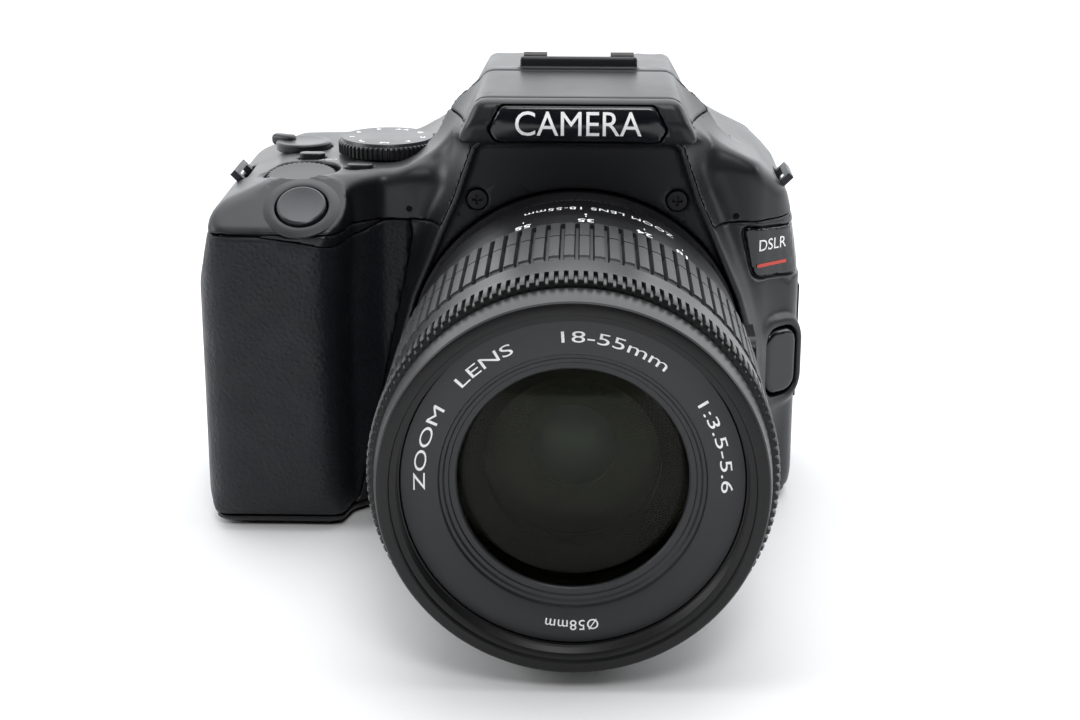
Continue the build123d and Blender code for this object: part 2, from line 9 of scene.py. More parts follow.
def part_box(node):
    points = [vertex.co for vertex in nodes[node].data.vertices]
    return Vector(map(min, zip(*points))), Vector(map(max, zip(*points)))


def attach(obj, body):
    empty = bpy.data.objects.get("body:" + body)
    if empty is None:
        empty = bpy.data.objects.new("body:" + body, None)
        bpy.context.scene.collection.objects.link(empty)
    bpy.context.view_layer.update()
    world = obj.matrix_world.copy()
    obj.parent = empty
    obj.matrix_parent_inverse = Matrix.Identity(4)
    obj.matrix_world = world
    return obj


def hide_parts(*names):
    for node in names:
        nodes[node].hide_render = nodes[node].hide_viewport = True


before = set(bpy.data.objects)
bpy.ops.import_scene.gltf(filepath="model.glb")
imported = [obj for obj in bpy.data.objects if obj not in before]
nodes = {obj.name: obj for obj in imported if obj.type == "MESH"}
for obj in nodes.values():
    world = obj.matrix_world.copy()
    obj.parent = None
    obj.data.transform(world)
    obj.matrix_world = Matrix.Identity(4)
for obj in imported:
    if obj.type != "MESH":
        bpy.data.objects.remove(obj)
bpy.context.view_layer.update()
mm = 0.001


def report(stage):
    print("stage:", stage, flush=True)


report("frame loaded")

# where the main parts stand, in mm in the camera's own frame
lensAxis = Vector((0, 0, sum(c.z for c in map(Vector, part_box("lens_bayonet"))) / 2)) / mm
axisZ = lensAxis.z
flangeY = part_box("body_mount_ring")[0][1] / mm


studio = {
    "cameraAt": (1.7, -409.7, 154.6),
    "yaw": 1.33, "pitch": 17.51, "roll": 0.17,
    "focal": 66.57,
    "worldLow": 0.015, "worldHigh": 2.3, "worldTint": (0.96, 0.98, 1.0),
    "worldLean": (0, 0.75, 0.66), "worldFrom": 0.0, "worldTo": 0.9,  # where the sky grows from low to high
    "floorColour": (0.72, 0.723, 0.728), "floorReach": 3.5,
    "topLight": {"at": (0.02, 0.3, 1.15), "aim": (0, 0.0, 0.04), "size": 1.1, "power": 6},
    "leftLight": {"at": (-1.1, -0.25, 0.55), "aim": (0, -0.02, 0.05), "size": 0.6, "power": 6.5},
    "rightLight": {"at": (1.2, 0.15, 0.6), "aim": (0, -0.02, 0.05), "size": 0.5, "power": 3.5},
    "frontLight": {"at": (0.15, -1.0, 1.2), "aim": (0, -0.05, 0.04), "size": 0.4, "power": 7.0},
}


def makeCamera():
    cam = bpy.data.objects.new("studioCamera", bpy.data.cameras.new("studioCamera"))
    bpy.context.collection.objects.link(cam)
    cam.location = Vector(studio["cameraAt"]) * mm
    turn = Euler((math.radians(90 - studio["pitch"]), 0, math.radians(studio["yaw"])))
    roll = Matrix.Rotation(math.radians(studio["roll"]), 3, "Z")
    cam.rotation_euler = (turn.to_matrix() @ roll).to_euler()
    cam.data.lens = studio["focal"]
    cam.data.sensor_width = 36
    cam.data.clip_start = 0.01
    bpy.context.scene.camera = cam


def makeLight(name, spec):
    lamp = bpy.data.lights.new(name, "AREA")
    lamp.size = spec["size"]
    lamp.energy = spec["power"]
    ob = bpy.data.objects.new(name, lamp)
    bpy.context.collection.objects.link(ob)
    ob.visible_transmission = False
    ob.location = spec["at"]
    ob.rotation_euler = (Vector(spec["aim"]) - Vector(spec["at"])).to_track_quat("-Z", "Y").to_euler()


def makeStudio():
    world = bpy.data.worlds.new("studio")
    bpy.context.scene.world = world
    world.use_nodes = True
    tree = world.node_tree
    back = tree.nodes["Background"]
    # bright overhead and behind the object, dark low down in front
    where = tree.nodes.new("ShaderNodeTexCoord").outputs["Generated"]
    lean = tree.nodes.new("ShaderNodeVectorMath")
    lean.operation = "DOT_PRODUCT"
    lean.inputs[1].default_value = studio["worldLean"]
    tree.links.new(where, lean.inputs[0])
    ramp = tree.nodes.new("ShaderNodeMapRange")
    ramp.interpolation_type = "SMOOTHSTEP"
    for key, value in (("From Min", studio["worldFrom"]), ("From Max", studio["worldTo"]),
                       ("To Min", studio["worldLow"]), ("To Max", studio["worldHigh"])):
        ramp.inputs[key].default_value = value
    tree.links.new(lean.outputs["Value"], ramp.inputs["Value"])
    tree.links.new(ramp.outputs["Result"], back.inputs["Strength"])
    back.inputs["Color"].default_value = (*studio["worldTint"], 1)
    bpy.context.scene.view_settings.view_transform = "Standard"
    for name in ("topLight", "leftLight", "rightLight", "frontLight"):
        makeLight(name, studio[name])
    bm = bmesh.new()
    reach = studio["floorReach"]
    made = [[bm.verts.new((x, y, 0.0)) for x in (-reach, reach)] for y in (-reach, -1.0, 1.0, reach)]
    for low, high in zip(made, made[1:]):
        bm.faces.new((low[0], low[1], high[1], high[0])).smooth = True
    mesh = bpy.data.meshes.new("floor")
    bm.to_mesh(mesh)
    floor = bpy.data.objects.new("floor", mesh)
    bpy.context.collection.objects.link(floor)
    mesh.materials.append(paperMaterial())


# Small helper round one Principled material and its nodes
class Shader:
    def __init__(self, name, **sockets):
        self.mat = bpy.data.materials.new(name)
        self.mat.use_nodes = True
        self.tree = self.mat.node_tree
        self.out = self.tree.nodes["Principled BSDF"]
        for key, value in sockets.items():
            self.set(key.replace("_", " "), value)

    def set(self, socket, value):
        plug = self.out.inputs[socket]
        plug.default_value = (*value, 1) if isinstance(value, tuple) and len(value) == 3 else value

    def node(self, kind, **values):
        made = self.tree.nodes.new(kind)
        for key, value in values.items():
            if key in made.inputs:
                made.inputs[key].default_value = value
            else:
                setattr(made, key, value)
        return made

    def link(self, a, b):
        self.tree.links.new(a, b)

    # Object coordinates, so the grain has a real size in metres
    def place(self):
        if not hasattr(self, "coords"):
            self.coords = self.node("ShaderNodeTexCoord").outputs["Object"]
        return self.coords

    # Noise whose lumps are about size mm across
    def noise(self, size, detail=3.0, roughness=0.55, stretch=None):
        made = self.node("ShaderNodeTexNoise")
        made.inputs["Scale"].default_value = 1 / (size * mm)
        made.inputs["Detail"].default_value = detail
        made.inputs["Roughness"].default_value = roughness
        source = self.place()
        if stretch:
            mapping = self.node("ShaderNodeMapping")
            mapping.inputs["Scale"].default_value = stretch
            self.link(source, mapping.inputs["Vector"])
            source = mapping.outputs["Vector"]
        self.link(source, made.inputs["Vector"])
        return made.outputs["Fac"]

    def spread(self, fac, low, high, lowTo, highTo):
        made = self.node("ShaderNodeMapRange")
        self.link(fac, made.inputs["Value"])
        for key, value in (("From Min", low), ("From Max", high), ("To Min", lowTo), ("To Max", highTo)):
            made.inputs[key].default_value = value
        return made.outputs["Result"]

    def tint(self, fac, dark, light):
        ramp = self.node("ShaderNodeValToRGB")
        ramp.color_ramp.elements[0].color = (*dark, 1)
        ramp.color_ramp.elements[1].color = (*light, 1)
        self.link(fac, ramp.inputs["Fac"])
        self.link(ramp.outputs["Color"], self.out.inputs["Base Color"])

    def rough(self, fac, low, high):
        self.link(self.spread(fac, 0.3, 0.7, low, high), self.out.inputs["Roughness"])

    # Stack bumps given as (height, strength, distance in mm)
    def bump(self, *layers):
        last = None
        for fac, strength, depth in layers:
            made = self.node("ShaderNodeBump")
            made.inputs["Strength"].default_value = strength
            made.inputs["Distance"].default_value = depth * mm
            self.link(fac, made.inputs["Height"])
            if last:
                self.link(last, made.inputs["Normal"])
            last = made.outputs["Normal"]
        self.link(last, self.out.inputs["Normal"])


def paperMaterial():
    s = Shader("floorPaper", Roughness=0.9)
    pale = studio["floorColour"]
    s.tint(s.noise(60, 2), pale, tuple(c * 1.02 for c in pale))
    s.bump((s.noise(1.5, 2), 0.05, 0.2))
    return s.mat


# Spark-eroded black plastic: fine pits, soft clouds of wear
def mouldedPlastic(name, colour, roughness=(0.42, 0.52), grain=0.16, depth=0.012, sheenRatio=0.5):
    s = Shader(name)
    s.set("Specular IOR Level", sheenRatio)
    cloud = s.noise(14, 4)
    s.tint(cloud, tuple(c * 0.86 for c in colour), tuple(min(1, c * 1.16) for c in colour))
    s.rough(cloud, *roughness)
    if depth:
        s.bump((s.noise(grain, 2, 0.6), 0.55, depth), (s.noise(1.4, 3), 0.12, depth))
    return s.mat


# Grip rubber moulded like leather: cells with creases between them
def leatherRubber(name, colour):
    s = Shader(name)
    s.set("Specular IOR Level", 0.32)
    cells = s.node("ShaderNodeTexVoronoi", feature="F1")
    cells.inputs["Scale"].default_value = 1 / (0.95 * mm)
    cells.inputs["Randomness"].default_value = 1.0
    warp = s.node("ShaderNodeVectorMath", operation="MULTIPLY_ADD")
    soft = s.node("ShaderNodeTexNoise")
    soft.inputs["Scale"].default_value = 1 / (1.1 * mm)
    s.link(s.place(), soft.inputs["Vector"])
    s.link(soft.outputs["Color"], warp.inputs[0])
    warp.inputs[1].default_value = (0.0007, 0.0007, 0.0007)
    s.link(s.place(), warp.inputs[2])
    s.link(warp.outputs["Vector"], cells.inputs["Vector"])
    pits = s.spread(cells.outputs["Distance"], 0.0, 0.6, 1.0, 0.0)
    worn = s.noise(18, 3)
    s.tint(worn, tuple(c * 0.8 for c in colour), tuple(c * 1.2 for c in colour))
    s.rough(s.noise(6, 3), 0.42, 0.56)
    s.bump((pits, 0.75, 0.11), (s.noise(0.3, 2), 0.4, 0.03))
    return s.mat


def satinMetal(name, colour, roughness=(0.25, 0.38)):
    s = Shader(name, Metallic=1.0)
    scratch = s.noise(0.5, 3, 0.6, (1, 0.06, 1))
    s.tint(scratch, tuple(c * 0.85 for c in colour), colour)
    s.rough(scratch, *roughness)
    s.bump((scratch, 0.08, 0.01))
    return s.mat


# Clear glass; a low index stands for a coating that kills most of the glare
def coatedGlass(name, colour, ior, roughness=0.0, through=1.0):
    s = Shader(name, IOR=ior)
    s.set("Transmission Weight", through)
    haze = s.noise(9, 2)
    s.tint(haze, tuple(c * 0.94 for c in colour), colour)
    if roughness:
        s.rough(s.noise(5, 2), roughness, roughness + 0.012)
    else:
        s.set("Roughness", 0.0)  # polished: any haze here turns into sparkle
    return s.mat


def glossyPlastic(name, colour, roughness=(0.12, 0.2)):
    s = Shader(name)
    smear = s.noise(8, 4)
    s.tint(smear, tuple(c * 0.9 for c in colour), tuple(c * 1.1 for c in colour))
    s.rough(smear, *roughness)
    s.bump((s.noise(2.5, 2), 0.03, 0.01))
    return s.mat


def printInk(name, colour):
    s = Shader(name)
    s.tint(s.noise(0.4, 2), tuple(c * 0.93 for c in colour), colour)
    s.rough(s.noise(0.3, 2), 0.4, 0.55)
    s.bump((s.noise(0.1, 2), 0.1, 0.01))
    return s.mat


# Satin top with fine turning lines round its own middle
def turnedTop(name, colour):
    s = Shader(name, Metallic=0.35)
    lines = s.node("ShaderNodeTexWave", wave_type="RINGS", rings_direction="Z")
    lines.inputs["Scale"].default_value = 1 / (0.5 * mm)
    lines.inputs["Distortion"].default_value = 0.4
    s.link(s.place(), lines.inputs["Vector"])
    s.tint(s.noise(3, 3), tuple(c * 0.85 for c in colour), tuple(c * 1.15 for c in colour))
    s.rough(lines.outputs["Fac"], 0.24, 0.36)
    s.bump((lines.outputs["Fac"], 0.35, 0.01), (s.noise(0.2, 2), 0.1, 0.006))
    return s.mat


def makeMaterials():
    return {
        "turnedTop": turnedTop("turnedTop", (0.03, 0.031, 0.034)),
        "shell": mouldedPlastic("shellPlastic", (0.0085, 0.009, 0.0105), (0.34, 0.42), 0.16, 0.006, 0.42),
        "control": mouldedPlastic("controlPlastic", (0.012, 0.0125, 0.014), (0.32, 0.4), 0.12, 0.005),
        "lens": mouldedPlastic("lensPlastic", (0.005, 0.005, 0.0055), (0.32, 0.4), 0.3, 0.003, 0.3),
        # real black flock on the inner parts; the same black on the mic and speaker discs is painted hole
        # shade
        "flat": mouldedPlastic("flockBlackAndHoleShade", (0.003, 0.003, 0.003), (0.6, 0.7), 0.4, 0.004, 0.12),
        # surfaces seen through glass keep their grain out of the bump, which goes wild behind a lens
        "bore": mouldedPlastic("boreBlack", (0.004, 0.004, 0.0042), (0.55, 0.7), 0.4, 0.0, 0.15),
        "nameRing": mouldedPlastic("nameRingSatin", (0.016, 0.0165, 0.0185), (0.4, 0.48), 0.1, 0.005, 0.45),
        "rubber": leatherRubber("gripRubber", (0.0085, 0.0098, 0.0125)),
        "smoothRubber": mouldedPlastic("smoothRubber", (0.009, 0.009, 0.0095), (0.55, 0.65), 0.25, 0.012,
                                       0.3),
        "lensRubber": mouldedPlastic("ribbedRubber", (0.010, 0.0105, 0.012), (0.42, 0.52), 0.2, 0.008, 0.45),
        "gloss": glossyPlastic("platePlastic", (0.006, 0.0065, 0.009), (0.16, 0.24)),
        "screenGlass": glossyPlastic("screenGlass", (0.006, 0.006, 0.008), (0.05, 0.09)),
        "metal": satinMetal("satinSteel", (0.62, 0.62, 0.61)),
        "brightMetal": satinMetal("shoeSteel", (0.46, 0.45, 0.43), (0.28, 0.4)),
        "darkMetal": satinMetal("blackSteel", (0.05, 0.05, 0.055), (0.35, 0.5)),
        "glass": coatedGlass("frontGlass", (0.55, 0.56, 0.44), 1.18),
        "innerGlass": coatedGlass("innerGlass", (0.66, 0.74, 0.72), 1.25),
        # rear element: a mostly opaque bluish surface, painted reflection in place of the coloured coating
        # glints at the lens centre
        "rearGlassPaintedReflection": coatedGlass("rearGlassPaintedReflection", (0.13, 0.17, 0.32), 1.6, 0.08, 0.2),
        "clear": coatedGlass("clearWindow", (0.8, 0.82, 0.85), 1.46, 0.06),
        "mirror": satinMetal("mirrorSilver", (0.9, 0.9, 0.91), (0.03, 0.06)),
        "board": mouldedPlastic("circuitBoard", (0.01, 0.06, 0.03), (0.3, 0.4), 0.4, 0.02),
        "white": printInk("whiteInk", (0.97, 0.97, 0.97)),
        "grey": printInk("greyInk", (0.45, 0.46, 0.47)),
        "red": printInk("redInk", (0.62, 0.06, 0.04)),
    }


def give(piece, material):
    piece.data.materials.clear()
    piece.data.materials.append(materials[material])


# Put a better material on a CAD node that stays
def dress(node, material):
    ob = nodes[node]
    for slot in ob.material_slots:
        slot.link = "OBJECT"
        slot.material = materials[material]


cadLooks = {
    "metal": ["lens_bayonet", "tripod_bush", "lock_pin"],
    "darkMetal": ["cross_head_screws", "strap_lugs", "body_mount_ring"],
    "brightMetal": ["hot_shoe"],
    "bore": ["iris"],
    "flat": ["mirror_box", "pentamirror", "shutter_unit", "battery"],
    "clear": ["flash_window", "eyepiece_lens"],
    "mirror": ["reflex_mirror"],
    "board": ["image_sensor", "main_board"],
    "control": ["iso_button", "display_button", "menu_button", "info_button", "live_view_button",
                "ae_lock_button", "af_point_button", "exposure_button", "playback_button", "cross_pad",
                "set_button", "diopter_knob", "focus_switch", "stabiliser_switch", "shutter_button",
                "main_dial", "mode_dial", "power_switch", "release_button"],
    "shell": ["front_cover", "top_cover", "rear_cover", "bottom_cover", "flash_head", "screen_case",
              "screen_hinge", "battery_door", "door_latch"],
    "rubber": ["grip_rubber"],
    "smoothRubber": ["eyecup", "audio_port_cover", "data_port_cover"],
    "gloss": ["name_plate", "badge_plate"],
    "screenGlass": ["screen_glass"],
    "lens": ["fixed_barrel", "zoom_ring", "inner_barrel", "focus_ring"],
    "nameRing": ["name_ring"],
    "lensRubber": ["zoom_rubber"],
    "glass": ["front_element"],
    "innerGlass": ["middle_element"],
}

makeCamera()
makeStudio()
materials = makeMaterials()
for look, names in cadLooks.items():
    for name in names:
        dress(name, look)
report("studio and materials")


grid = {"step": 0.5, "x": (-79, 49.5), "y": (-41.5, 28.5), "z": (-2, 94)}
axes = [np.arange(*grid[k], grid["step"], dtype=np.float32) for k in "xyz"]
gx, gy, gz = axes[0][:, None, None], axes[1][None, :, None], axes[2][None, None, :]
flat = 0 * (gx + gy + gz)  # added to a field to give it the whole grid's size


# Replace each corner of an outline with a small arc
def roundCorners(points, radii):
    made = []
    for i, point in enumerate(points):
        here = Vector(point)
        before = Vector(points[i - 1]) - here
        after = Vector(points[(i + 1) % len(points)]) - here
        half = before.angle(after) / 2
        radius = radii[i] if isinstance(radii, (list, tuple)) else radii
        cut = min(radius / math.tan(half), 0.46 * before.length, 0.46 * after.length)
        before.normalize()
        after.normalize()
        centre = here + (before + after).normalized() * (cut / math.cos(half))
        start, end = here + before * cut - centre, here + after * cut - centre
        swing = start.angle_signed(end)
        for k in range(7):
            spin = Matrix.Rotation(-swing * k / 6, 2)
            made.append(tuple(centre + spin @ start))
    return made


# Signed distance to an outline on a flat grid, below zero inside
def flatField(points, radii, us, vs):
    edge = np.array(roundCorners(points, radii), dtype=np.float32)
    u, v = np.meshgrid(us, vs, indexing="ij")
    nearest = np.full(u.shape, 1e9, np.float32)
    inside = np.zeros(u.shape, bool)
    for (u0, v0), (u1, v1) in zip(edge, np.roll(edge, -1, 0)):
        du, dv = u1 - u0, v1 - v0
        length = du * du + dv * dv
        if length < 1e-9:
            continue
        t = np.clip(((u - u0) * du + (v - v0) * dv) / length, 0, 1)
        nearest = np.minimum(nearest, (u - u0 - t * du) ** 2 + (v - v0 - t * dv) ** 2)
        if v0 != v1:
            crosses = (v0 <= v) != (v1 <= v)
            inside ^= crosses & (u < u0 + (v - v0) / (v1 - v0) * du)
    return np.where(inside, -1, 1) * np.sqrt(nearest)


def frontField(points, radii=0.01):
    return flatField(points, radii, axes[0], axes[2])[:, None, :]


def sideField(points, radii=0.01):
    return flatField(points, radii, axes[1], axes[2])[None, :, :]


def planField(points, radii=0.01):
    return flatField(points, radii, axes[0], axes[1])[:, :, None]


# Overlap of two fields, with the edge between them rounded
def both(a, b, soft=0.0):
    if not soft:
        return np.maximum(a, b)
    near = np.maximum(soft - np.abs(a - b), 0) / soft
    return np.maximum(a, b) + near * near * (soft / 4)


def either(a, b, soft=0.0):
    return -both(-a, -b, soft)


def without(a, b, soft=0.0):
    return both(a, -b, soft)


def boxField(x0, x1, y0, y1, z0, z1):
    across = np.maximum(x0 - gx, gx - x1)
    along = np.maximum(y0 - gy, gy - y1)
    up = np.maximum(z0 - gz, gz - z1)
    return np.maximum(np.maximum(across, along), up)


# A round bar round a line, from low to high along it
def barField(radius, at, direction, low=-99, high=99):
    d = Vector(direction).normalized()
    px, py, pz = gx - at[0], gy - at[1], gz - at[2]
    along = px * d.x + py * d.y + pz * d.z
    square = px * px + py * py + pz * pz - along * along
    return np.maximum(np.sqrt(np.maximum(square, 0)) - radius, np.maximum(low - along, along - high))


# Value of a cropped field at points given in whole-grid cells
def fieldSample(field, low, points):
    at = points - low
    top = np.array(field.shape) - 1.001
    at = np.clip(at, 0, top)
    i = at.astype(int)
    f = (at - i).astype(np.float32)
    total = np.zeros(len(at), np.float32)
    for dx in (0, 1):
        for dy in (0, 1):
            for dz in (0, 1):
                share = (np.abs(1 - dx - f[:, 0]) * np.abs(1 - dy - f[:, 1]) * np.abs(1 - dz - f[:, 2]))
                total += share * field[i[:, 0] + dx, i[:, 1] + dy, i[:, 2] + dz]
    return total


# Unit outward direction of a field at each point
def slopes(part, points):
    shifts = np.eye(3, dtype=np.float32) * 0.55
    slope = np.stack([fieldSample(part, 0, points + d) - fieldSample(part, 0, points - d) for d in shifts], 1)
    return slope / np.maximum(np.linalg.norm(slope, axis=1, keepdims=True), 1e-6)


# Skin a field with a mesh whose normals come from the field, or from skin where the two agree
def meshFromField(name, field, skin=None, adaptivity=0.02):
    step = grid["step"]
    where = np.argwhere(field < 1.5)
    low = np.maximum(where.min(0) - 2, 0)
    high = where.max(0) + 3
    part = np.ascontiguousarray(field[low[0]:high[0], low[1]:high[1], low[2]:high[2]], dtype=np.float32)
    vdb = openvdb.FloatGrid(3.0)
    vdb.copyFromArray(np.clip(part / step, -3, 3))
    points, tris, quads = vdb.convertToPolygons(isovalue=0.0, adaptivity=adaptivity)
    slope = slopes(part, points)
    if skin is not None:
        wide = np.ascontiguousarray(skin[low[0]:high[0], low[1]:high[1], low[2]:high[2]], dtype=np.float32)
        onSkin = np.abs(fieldSample(wide, 0, points)) < 0.12
        slope[onSkin] = slopes(wide, points)[onSkin]
    first = np.array([axes[i][0] for i in range(3)]) + low * step
    places = (points * step + first) * mm
    faces = [tuple(q) for q in quads.tolist()] + [tuple(t) for t in tris.tolist()]
    mesh = bpy.data.meshes.new(name)
    mesh.from_pydata(places.tolist(), [], faces)
    # faces must turn outward, the way the field grows
    probe = mesh.polygons[0]
    outward = Vector(slope[probe.vertices[0]].tolist())
    if probe.normal.dot(outward) < 0:
        mesh.flip_normals()
    mesh.polygons.foreach_set("use_smooth", [True] * len(mesh.polygons))
    mesh.normals_split_custom_set_from_vertices(slope.tolist())
    ob = bpy.data.objects.new(name, mesh)
    bpy.context.collection.objects.link(ob)
    return ob


# Dress a finished piece and hand it to its body
def stand(ob, body, material, slotName, *replaced):
    give(ob, material)
    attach(ob, body)
    if replaced:
        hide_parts(*replaced)
    return ob


bodyShape = {
    "wall": 2.2, "baseTop": 2.5, "topSeam": 61.5, "rearSeam": 8.0,
    "front": [(-76.05, 0), (46.45, 0), (46.45, 50), (42.2, 66.7), (36, 73), (24.3, 76),
              (-28, 71.4), (-60, 70.4), (-71, 66), (-76.05, 50)],
    "frontRadii": [7, 6, 8, 6, 4, 3, 6, 6, 6, 8],
    "plan": [(-76, 24.5), (46.4, 24.5), (46.4, -13.5), (36, -22), (-39, -22),
             (-45, -27), (-47.5, -37.5), (-72, -37.5), (-76, -27)],
    "planRadii": [9, 8, 6, 5, 3, 4, 8, 9, 9],
    "side": [(-33, 0), (-37.55, 7), (-37.55, 46), (-36.9, 62.2), (-22.5, 72.6), (-19, 82),
             (16, 82), (24.55, 67), (24.55, 0)],
    "sideRadii": [4, 8, 20, 3, 3, 1, 2, 4, 3],
    "softPlan": 3.5, "softTop": 1.5,
    "hump": [(-31, 60), (31, 60), (31, 72), (23.5, 79), (18.3, 90), (-18.3, 90), (-23.5, 79), (-31, 71.4)],
    "humpRadii": [1, 1, 3, 8, 2.5, 2.5, 8, 3],
    "humpSide": [(-34.8, 79.3), (-35.5, 83), (-34, 87.6), (-8.2, 90), (13, 90), (24.5, 84), (24.5, 55),
                 (-18, 55), (-18, 79.3)],
    "humpSideRadii": [1, 4, 2, 3, 2, 5, 1, 1, 1],
    "archHalf": [(20, 79.3), (24, 67.6), (27, 61), (32.5, 48), (36, 36), (36, 20), (31, 3)],
    "archRadii": [3, 8, 10, 14, 14, 14, 6],
    "archFront": -29.5, "archBack": -18, "archDraft": 0.34, "archRecess": 1.2, "archDip": 0.9,
    "gripRubber": [(-90, 2.8), (-44.5, 2.8), (-34.5, 48.4), (-32.9, 58), (-33.2, 61.4), (-35.6, 61.45),
                   (-38.6, 61.2), (-43.2, 59.4), (-47.5, 58.9), (-54, 60.1), (-62, 61.1), (-90, 61.3)],
    "gripRadii": [0.1, 2, 6, 2, 1.2, 1.5, 4, 6, 6, 8, 8, 0.1],
    "badge": [(32.3, 60.8), (35.1, 49.6), (60, 47.6), (60, 58.2)], "badgeRadii": [1.4, 2.6, 1, 1],
    "flashSide": [(-27.75, 81.25), (-9.15, 81.25), (-9.15, 88.4), (-9.65, 89.5), (-10.35, 90.2),
                  (-10.35, 99), (-31.45, 99), (-31.45, 86.95)],
    "thumbRubber": [(-90, 28), (-57, 30), (-54.5, 53), (-90, 53)], "thumbRadii": [1, 5, 5, 1],
    "plateHole": [(15.75, 79.55), (17.35, 82), (14.75, 86.85)],
    "plateFace": [(15.6, 79.7), (17.2, 82), (14.6, 86.7)],
    "shoeFence": (-11.8, 11.8, -8.2, -6.7, 86, 91.9), "shoeFloor": (-11.4, 11.4, -6.7, 30, 88.6, 100),
    "flashMouth": (-14.2, 14.2, -31, -25, 82.3, 86.1),
    "seamGap": 0.05,
}

controls = {
    "shutterAt": (-53.5, -31.8, 65.9), "slopeTilt": 35.8, "shutterR": 4.9,
    "mainDialAt": (-55.2, -17.0, 66.9), "dialTilt": 10.0, "mainDialR": 7.2,
    "modeDialAt": (-39.4, -2.0, 71.0), "modeDialR": 10.25,
    "switchAt": (-58.0, 5.0, 69.9), "switchR": 5.75,
    "topButtons": [(-43.6, -17.0), (-54.6, -6.3)],
    "releaseAt": (41.2, -17.8, 31.5), "releaseNormal": (0.633, -0.774, 0),
}


rearButtons = {  # x, z and radius
    "menu_button": (-33.0, 58.0, 2.6), "info_button": (-43.0, 58.0, 2.6),
    "live_view_button": (-33.0, 49.0, 3.0), "ae_lock_button": (-58.0, 59.0, 2.5),
    "af_point_button": (-67.0, 57.5, 2.5), "exposure_button": (-43.5, 48.6, 2.6),
    "playback_button": (-35.0, 15.0, 2.8),
}


# Upward direction of a face that leans forward by tilt
def leaning(tilt):
    return (0, -math.sin(math.radians(tilt)), math.cos(math.radians(tilt)))


# The release button's rounded oblong, grown all round
def oblongField(grow, low, high, at, normal, soft=0.0, half=(7, 4.5), corner=3.4):
    n = Vector(normal).normalized()
    side = Vector((0, 0, 1)).cross(n)
    px, py, pz = gx - at[0], gy - at[1], gz - at[2]
    u = np.abs(px * side.x + py * side.y) - (half[1] - corner)
    v = np.abs(pz) - (half[0] - corner)
    rim = np.sqrt(np.maximum(u, 0) ** 2 + np.maximum(v, 0) ** 2) + np.minimum(np.maximum(u, v), 0)
    rim = rim - (corner + grow)
    depth = px * n.x + py * n.y
    return np.maximum(both(rim + 0 * pz, depth - high + 0 * pz, soft), low - depth)


def outerField():
    b = bodyShape
    front = frontField(b["front"], b["frontRadii"])
    plan = planField(b["plan"], b["planRadii"])
    side = sideField(b["side"], b["sideRadii"])
    main = both(both(plan, front, b["softPlan"]), side, b["softTop"])
    # rounded nose round the shutter button
    at = controls["shutterAt"]
    up = leaning(controls["slopeTilt"])
    lean = gy * up[1] + gz * up[2] - (at[1] * up[1] + at[2] * up[2])
    nose = both(barField(8.6, at, up, -14, 40), lean + 0 * gx, 1.0)
    nose = both(nose, -37.4 - gy + 0 * gx, 2.0)
    main = np.maximum(either(main, nose, 2.0), side)
    hump = both(frontField(b["hump"], b["humpRadii"]), sideField(b["humpSide"], b["humpSideRadii"]), 2.0)
    arch2d = frontField(b["archHalf"] + [(-x, z) for x, z in reversed(b["archHalf"])],
                        b["archRadii"] + b["archRadii"][::-1])
    arch = both((arch2d - b["archDraft"] * (gy - b["archFront"])) / 1.06, b["archFront"] - gy + 0 * gx, 1.0)
    arch = np.maximum(arch, gy + 9)
    shape = either(main, hump, 7.0)
    shape = np.maximum(shape, gy - 24.5)
    shape = either(shape, arch, 3.5)
    dip = both(arch2d + b["archRecess"], gy - (b["archFront"] + b["archDip"]) + 0 * gx, 0.3)
    shape = without(shape, dip, 0.5)
    # surround of the lens release, and its pocket
    at, normal = controls["releaseAt"], controls["releaseNormal"]
    shape = either(shape, oblongField(2.0, -6, 1.0, at, normal, 1.2), 2.0)
    shape = without(shape, oblongField(0.4, -7, 9, at, normal), 0.4)
    # lift notches beside the flash
    for way in (-1, 1):
        shape = without(shape, barField(0.95, (way * 20.6, -25, 80.2), (way * 0.5, -0.6, 0.6), -2.2, 3), 0.4)
    return shape, main, arch2d, plan, front, side


# hollow boxes inside the covers, as x, y and z from and to
rooms = {
    "main": (-90, 60, -60, 17.5, 2.5, 65.4),
    "finder": (-20, 20, -16, 17.5, 55, 79),
    "prism": (-16, 16, -6, 17.5, 55, 86),
    "flash": (-17, 17, -25.5, -13, 80, 86.4),
}


def hollowField(plan, front, side):
    wall = bodyShape["wall"]
    room = both(both(plan, front), side) + wall
    room = np.maximum(room, boxField(*rooms["main"]))
    for name in ("finder", "prism", "flash"):
        room = np.minimum(room, boxField(*rooms[name]))
    return room


def topCuts():
    c = controls
    cuts = [barField(c["shutterR"] + 0.75, c["shutterAt"], leaning(c["slopeTilt"]), -6, 9),
            barField(c["mainDialR"] + 0.45, c["mainDialAt"], leaning(c["dialTilt"]), -0.4, 9),
            barField(c["modeDialR"] + 0.4, c["modeDialAt"], (0, 0, 1), -0.2, 9),
            barField(c["switchR"] + 0.4, c["switchAt"], (0, 0, 1), -0.2, 9),
            barField(2.4, c["modeDialAt"], (0, 0, 1), -6, 9),
            barField(2.4, c["switchAt"], (0, 0, 1), -6, 9),
            barField(2.4, c["mainDialAt"], leaning(c["dialTilt"]), -6, 9)]
    for x, y in c["topButtons"]:
        long = both(np.abs(gx - x) - 1.6, np.abs(gy - y) - 1.6)
        across = np.sqrt(np.maximum(np.abs(gx - x) - 1.3, 0) ** 2 + (gy - y) ** 2) - 1.65
        cuts.append(np.maximum(np.minimum(across, np.maximum(long, 9)) + 0 * gz, 67.6 - gz))
    return cuts


